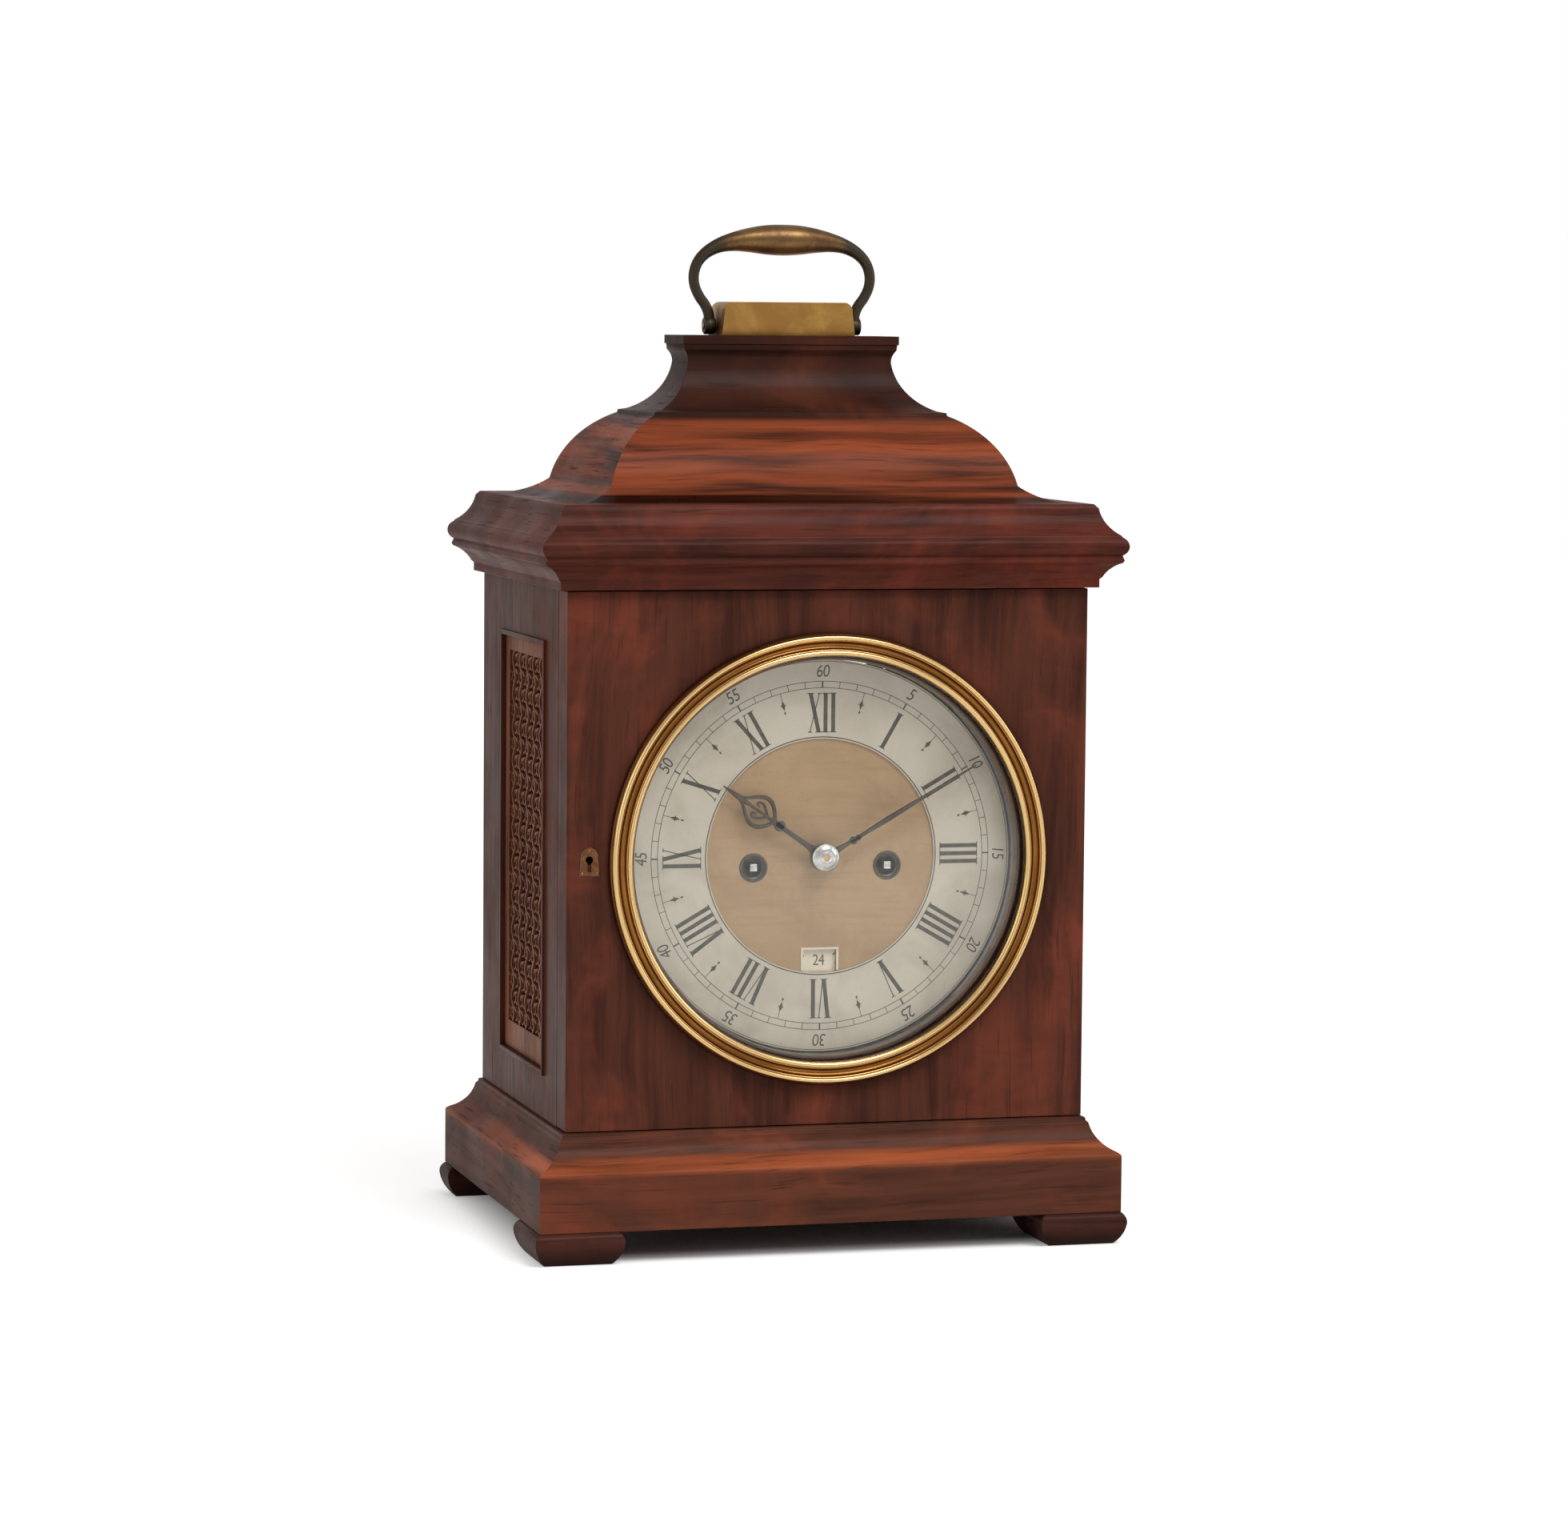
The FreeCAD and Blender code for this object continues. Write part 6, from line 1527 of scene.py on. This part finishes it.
@dataclass
class Dial(Assembly):
    """The dial, its engraving and the hands, with its sizes in millimetres."""

    ring_face: float = -76.4
    plate_face: float = -75.4
    date_face: float = -73.6
    hour_back: float = -80.7
    minute_back: float = -83.7
    hour_long: float = 59.0
    minute_long: float = 84.0
    hand_thick: float = 0.9
    hour_angle: float = 305.0
    minute_angle: float = 60.0
    collet_back: float = -84.67
    hours_foot: float = 57.8
    hours_head: float = 75.8
    track_low: float = 78.4
    track_high: float = 81.4
    figures_out: float = 85.9
    figures_size: float = 8.2
    half_mark: float = 72.6
    winding: tuple[float, float] = (32.3, 178.0)
    square_half: float = 1.75
    square_front: float = -76.25
    square_back: float = -74.0
    date_drop: float = 49.2
    date_wide: float = 16.0
    date_tall: float = 10.5
    date_size: float = 7.4
    date_rim: float = 1.1
    rim_proud: float = 0.45
    shown_date: int = 24

    PLAIN = {
        "dial_plate": ("matted_brass", 0.0001),
        "chapter_ring": ("silvering", 0.0001),
        "calendar_ring": ("date_silver", 0.0),
        "dial_feet": ("clock_brass", 0.0001),
    }

    def spot(self, y: float) -> Vector:
        """The dial's centre in a plane.

        Args:
            y: The plane, in millimetres.

        Returns:
            The point in metres.
        """
        return Vector((0, y, DIAL_HEIGHT)) * MM

    def engraving(self) -> None:
        """Engrave the chapter ring: hours, half-hour marks, minute track and minute figures."""
        burin = Engraver(self.spot(self.ring_face))
        for radius, width in ((55.5, 0.5), (self.track_low, 0.3), (self.track_high, 0.3), (90.7, 0.25)):
            burin.circle(radius * MM, width * MM)
        Roman(burin, self.hours_foot, self.hours_head).cut()
        for minute in range(60):
            width = 0.7 if minute % 5 == 0 else 0.3
            burin.bar(minute * 6, (0, self.track_low * MM), (0, self.track_high * MM), width * MM)
        mark = self.half_mark * MM
        for hour in range(12):
            angle = hour * 30 + 15
            burin.diamond(angle, mark, 0.9 * MM, 2.6 * MM)
            burin.diamond(angle, 69.0 * MM, 0.55 * MM, 0.9 * MM)
            burin.bar(angle, (0, 74.5 * MM), (0, 78.3 * MM), 0.28 * MM)
            burin.bar(angle, (-1.5 * MM, mark), (1.5 * MM, mark), 0.3 * MM)
            burin.figure(str(hour * 5 or 60), hour * 30, self.figures_out * MM, self.figures_size * MM,
                         lean=0.12)
        self.keep("ring_engraving", burin.form, "chapter_ring", "engraving_wax", out=False)

    def date(self) -> None:
        """Number the calendar ring and frame the date's opening before it."""
        burin = Engraver(self.spot(self.date_face))
        for day in range(1, 32):
            angle = 180 + (self.shown_date - day) * 360 / 31
            burin.figure(str(day), angle, self.date_drop * MM, self.date_size * MM, inward=True)
        self.keep("date_figures", burin.form, "calendar_ring", "engraving_wax", out=False)
        form = bmesh.new()
        half, rim, front = self.date_wide / 2, self.date_rim, self.plate_face - self.rim_proud
        middle = DIAL_HEIGHT - self.date_drop
        top, foot = middle + self.date_tall / 2, middle - self.date_tall / 2 + 2 * self.rim_proud
        for x, z in (((-half - rim, -half), (foot, top)), ((half, half + rim), (foot, top)),
                     ((-half - rim, half + rim), (top, top + rim))):
            slab(form, (x[0] * MM, front * MM, z[0] * MM), (x[1] * MM, self.plate_face * MM, z[1] * MM))
        self.keep("date_frame", form, "dial_plate", "date_silver", ease=0.0003)

    def ferrules(self) -> None:
        """Fit a dark ferrule into each winding hole, and face each winding square."""
        x, z = self.winding
        ring = [(5.45, -1.4), (5.45, 0.1), (5.7, 0.5), (6.3, 0.55), (6.7, 0.3), (6.8, 0.0), (4.6, -1.4)]
        form = bmesh.new()
        for side in (-1, 1):
            turned(form, in_metres(ring), Vector((side * x, self.plate_face, z)) * MM, steps=48)
        self.keep("winding_ferrules", form, "dial_plate", "ferrule_shade", sharp=50)
        half = self.square_half
        for side, node in ((-1, "strike_fusee"), (1, "going_fusee")):
            form = bmesh.new()
            slab(form, Vector((side * x - half, self.square_front, z - half)) * MM,
                 Vector((side * x + half, self.square_back, z + half)) * MM)
            self.keep(f"{node}_square", form, node, "bright_steel", ease=0.0004)

    def laid(self, back: float, angle: float) -> Matrix:
        """The place of a hand that is drawn pointing along Y.

        Args:
            back: The plane of its back, in millimetres.
            angle: Where it points, clockwise from twelve, in degrees.

        Returns:
            The matrix, for a hand in millimetres.
        """
        return Engraver(self.spot(back)).frame(angle) @ Matrix.Scale(MM, 4)

    def boss(self, form: Form, radius: float, bore: float = 0.0, bevel: float = 0.4, rim: float = 0.65,
             y: float = 0.0, steps: int = 24) -> None:
        """Turn a round boss on a hand that lies in the XY plane.

        Args:
            form: The mesh under work.
            radius: Its radius.
            bore: The radius of its hole.
            bevel: How far its rim is turned off.
            rim: The height at which that starts.
            y: Where it is on the hand.
            steps: How many facets it has.
        """
        tall = self.hand_thick
        turned(form, [(bore, 0), (radius, 0), (radius, rim), (radius - bevel, tall), (bore, tall)], (0, y, 0),
               (0, 0, 1), steps, closed=bore > 0)

    def hour_hand(self) -> None:
        """Saw and file the pierced hour hand."""
        form, long = bmesh.new(), self.hour_long
        self.boss(form, 6.6, bore=4.03, steps=64)
        stem = [(0, 5.9, 2.2), (0, 9, 1.35), (0, 16, 1.05), (0, 22, 1.1), (0, 27, 1.5), (0, 31, 1.5)]
        ribbon(form, stem, self.hand_thick)
        self.boss(form, 2.7, bevel=0.5, rim=0.6, y=long - 33)
        loop = curve_through([(0.7, long - 29.5, 0.8), (3.4, long - 27.8, 0.9), (6.5, long - 24.2, 1.05),
                              (7.0, long - 20.4, 1.0), (4.9, long - 16.4, 0.85), (2.3, long - 13.2, 0.75),
                              (0.6, long - 10.2, 0.7)], 4)
        curl = curve_through([(0.4, long - 25.6, 0.6), (2.4, long - 23.2, 0.65), (3.9, long - 20.6, 0.6),
                              (3.2, long - 18.4, 0.5), (1.9, long - 18.8, 0.42),
                              (2.0, long - 20.2, 0.35)], 3)
        for side in (-1, 1):
            for line, thick in ((loop, 0.85), (curl, 0.8)):
                ribbon(form, [(side * x, y, half) for x, y, half in line], thick)
        ribbon(form, [(0, long - 30, 0.9), (0, long - 25, 0.7), (0, long - 18, 0.6), (0, long - 11, 1.3),
                      (0, long - 9, 1.35), (0, long - 4, 0.75), (0, long, 0.3)], 0.88)
        bmesh.ops.transform(form, matrix=self.laid(self.hour_back, self.hour_angle), verts=form.verts)
        self.keep("pierced_hour_hand", form, "hour_hand", "faded_steel", ["hour_hand"])

    def minute_hand(self) -> None:
        """File the slender minute hand."""
        form, long = bmesh.new(), self.minute_long
        self.boss(form, 5.0, bore=2.63, steps=56)
        ribbon(form, [(0, 4.4, 2.2), (0, 7, 1.6), (0, 11, 1.1), (0, 16, 0.9), (0, 22, 0.95), (0, 34, 1.3),
                      (0, 44, 1.15), (0, 56, 0.85), (0, long, 0.28)], self.hand_thick)
        for y, radius in ((15.5, 1.9), (18.2, 1.35)):
            self.boss(form, radius, bevel=0.3, rim=0.6, y=y)
        bmesh.ops.transform(form, matrix=self.laid(self.minute_back, self.minute_angle), verts=form.verts)
        self.keep("slender_minute_hand", form, "minute_hand", "faded_steel", ["minute_hand"])

    def collet(self) -> None:
        """Turn the domed collet that holds the hands."""
        form = bmesh.new()
        dome = [(1.46, 0.0), (6.45, 0.0), (6.45, 0.5), (6.1, 0.8), (5.6, 0.72), (5.3, 0.78), (5.0, 1.1),
                (4.1, 1.5), (3.2, 1.72), (3.0, 1.62), (2.7, 1.66), (2.4, 1.9), (1.46, 1.95)]
        turned(form, in_metres(dome), self.spot(self.collet_back), steps=64)
        self.keep("domed_collet", form, "hand_collet", "bright_steel", ["hand_collet"], sharp=40)

    def build(self) -> None:
        """Build and dress every piece of the dial."""
        for node, (finish, ease) in self.PLAIN.items():
            self.eased(node, finish, ease)
        self.engraving()
        self.date()
        self.ferrules()
        self.hour_hand()
        self.minute_hand()
        self.collet()


# ---- the movement -----------------------------------------------------------------------


@dataclass
class Movement(Assembly):
    """The movement between its plates, with the bell and the pendulum."""

    METALS = {
        "front_plate": "clock_brass", "back_plate": "clock_brass", "plate_pillars": "clock_brass",
        "cannon_pinion": "wheel_brass", "back_cock": "clock_brass", "bell_stand": "dark_steel",
        "strike_bell": "bell_metal", "barrel_arbors": "bright_steel", "mainsprings": "blued_steel",
        "fusee_lines": "gut_line", "going_fusee": "wheel_brass", "going_barrel": "clock_brass",
        "strike_fusee": "wheel_brass", "strike_barrel": "clock_brass", "centre_arbor": "wheel_brass",
        "third_arbor": "wheel_brass", "escape_arbor": "wheel_brass", "pallet_arbor": "bright_steel",
        "pendulum": "dark_steel", "pendulum_bob": "bob_brass", "minute_wheel": "wheel_brass",
        "hour_wheel": "wheel_brass", "pin_wheel": "wheel_brass", "gathering_wheel": "wheel_brass",
        "warning_wheel": "wheel_brass", "fly": "wheel_brass", "hammer": "dark_steel",
    }

    def build(self) -> None:
        """Build and dress every piece of the movement."""
        for node, finish in self.METALS.items():
            self.eased(node, finish, 0.0)


def main() -> None:
    """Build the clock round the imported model, and the studio round the clock."""
    logging.basicConfig(level=logging.INFO, format="%(message)s")
    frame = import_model()
    stock = Stock()
    Studio().build()
    for kind in (Case, Dial, Movement):
        kind(stock, frame["record"]).build()


if __name__ == "__main__":
    main()
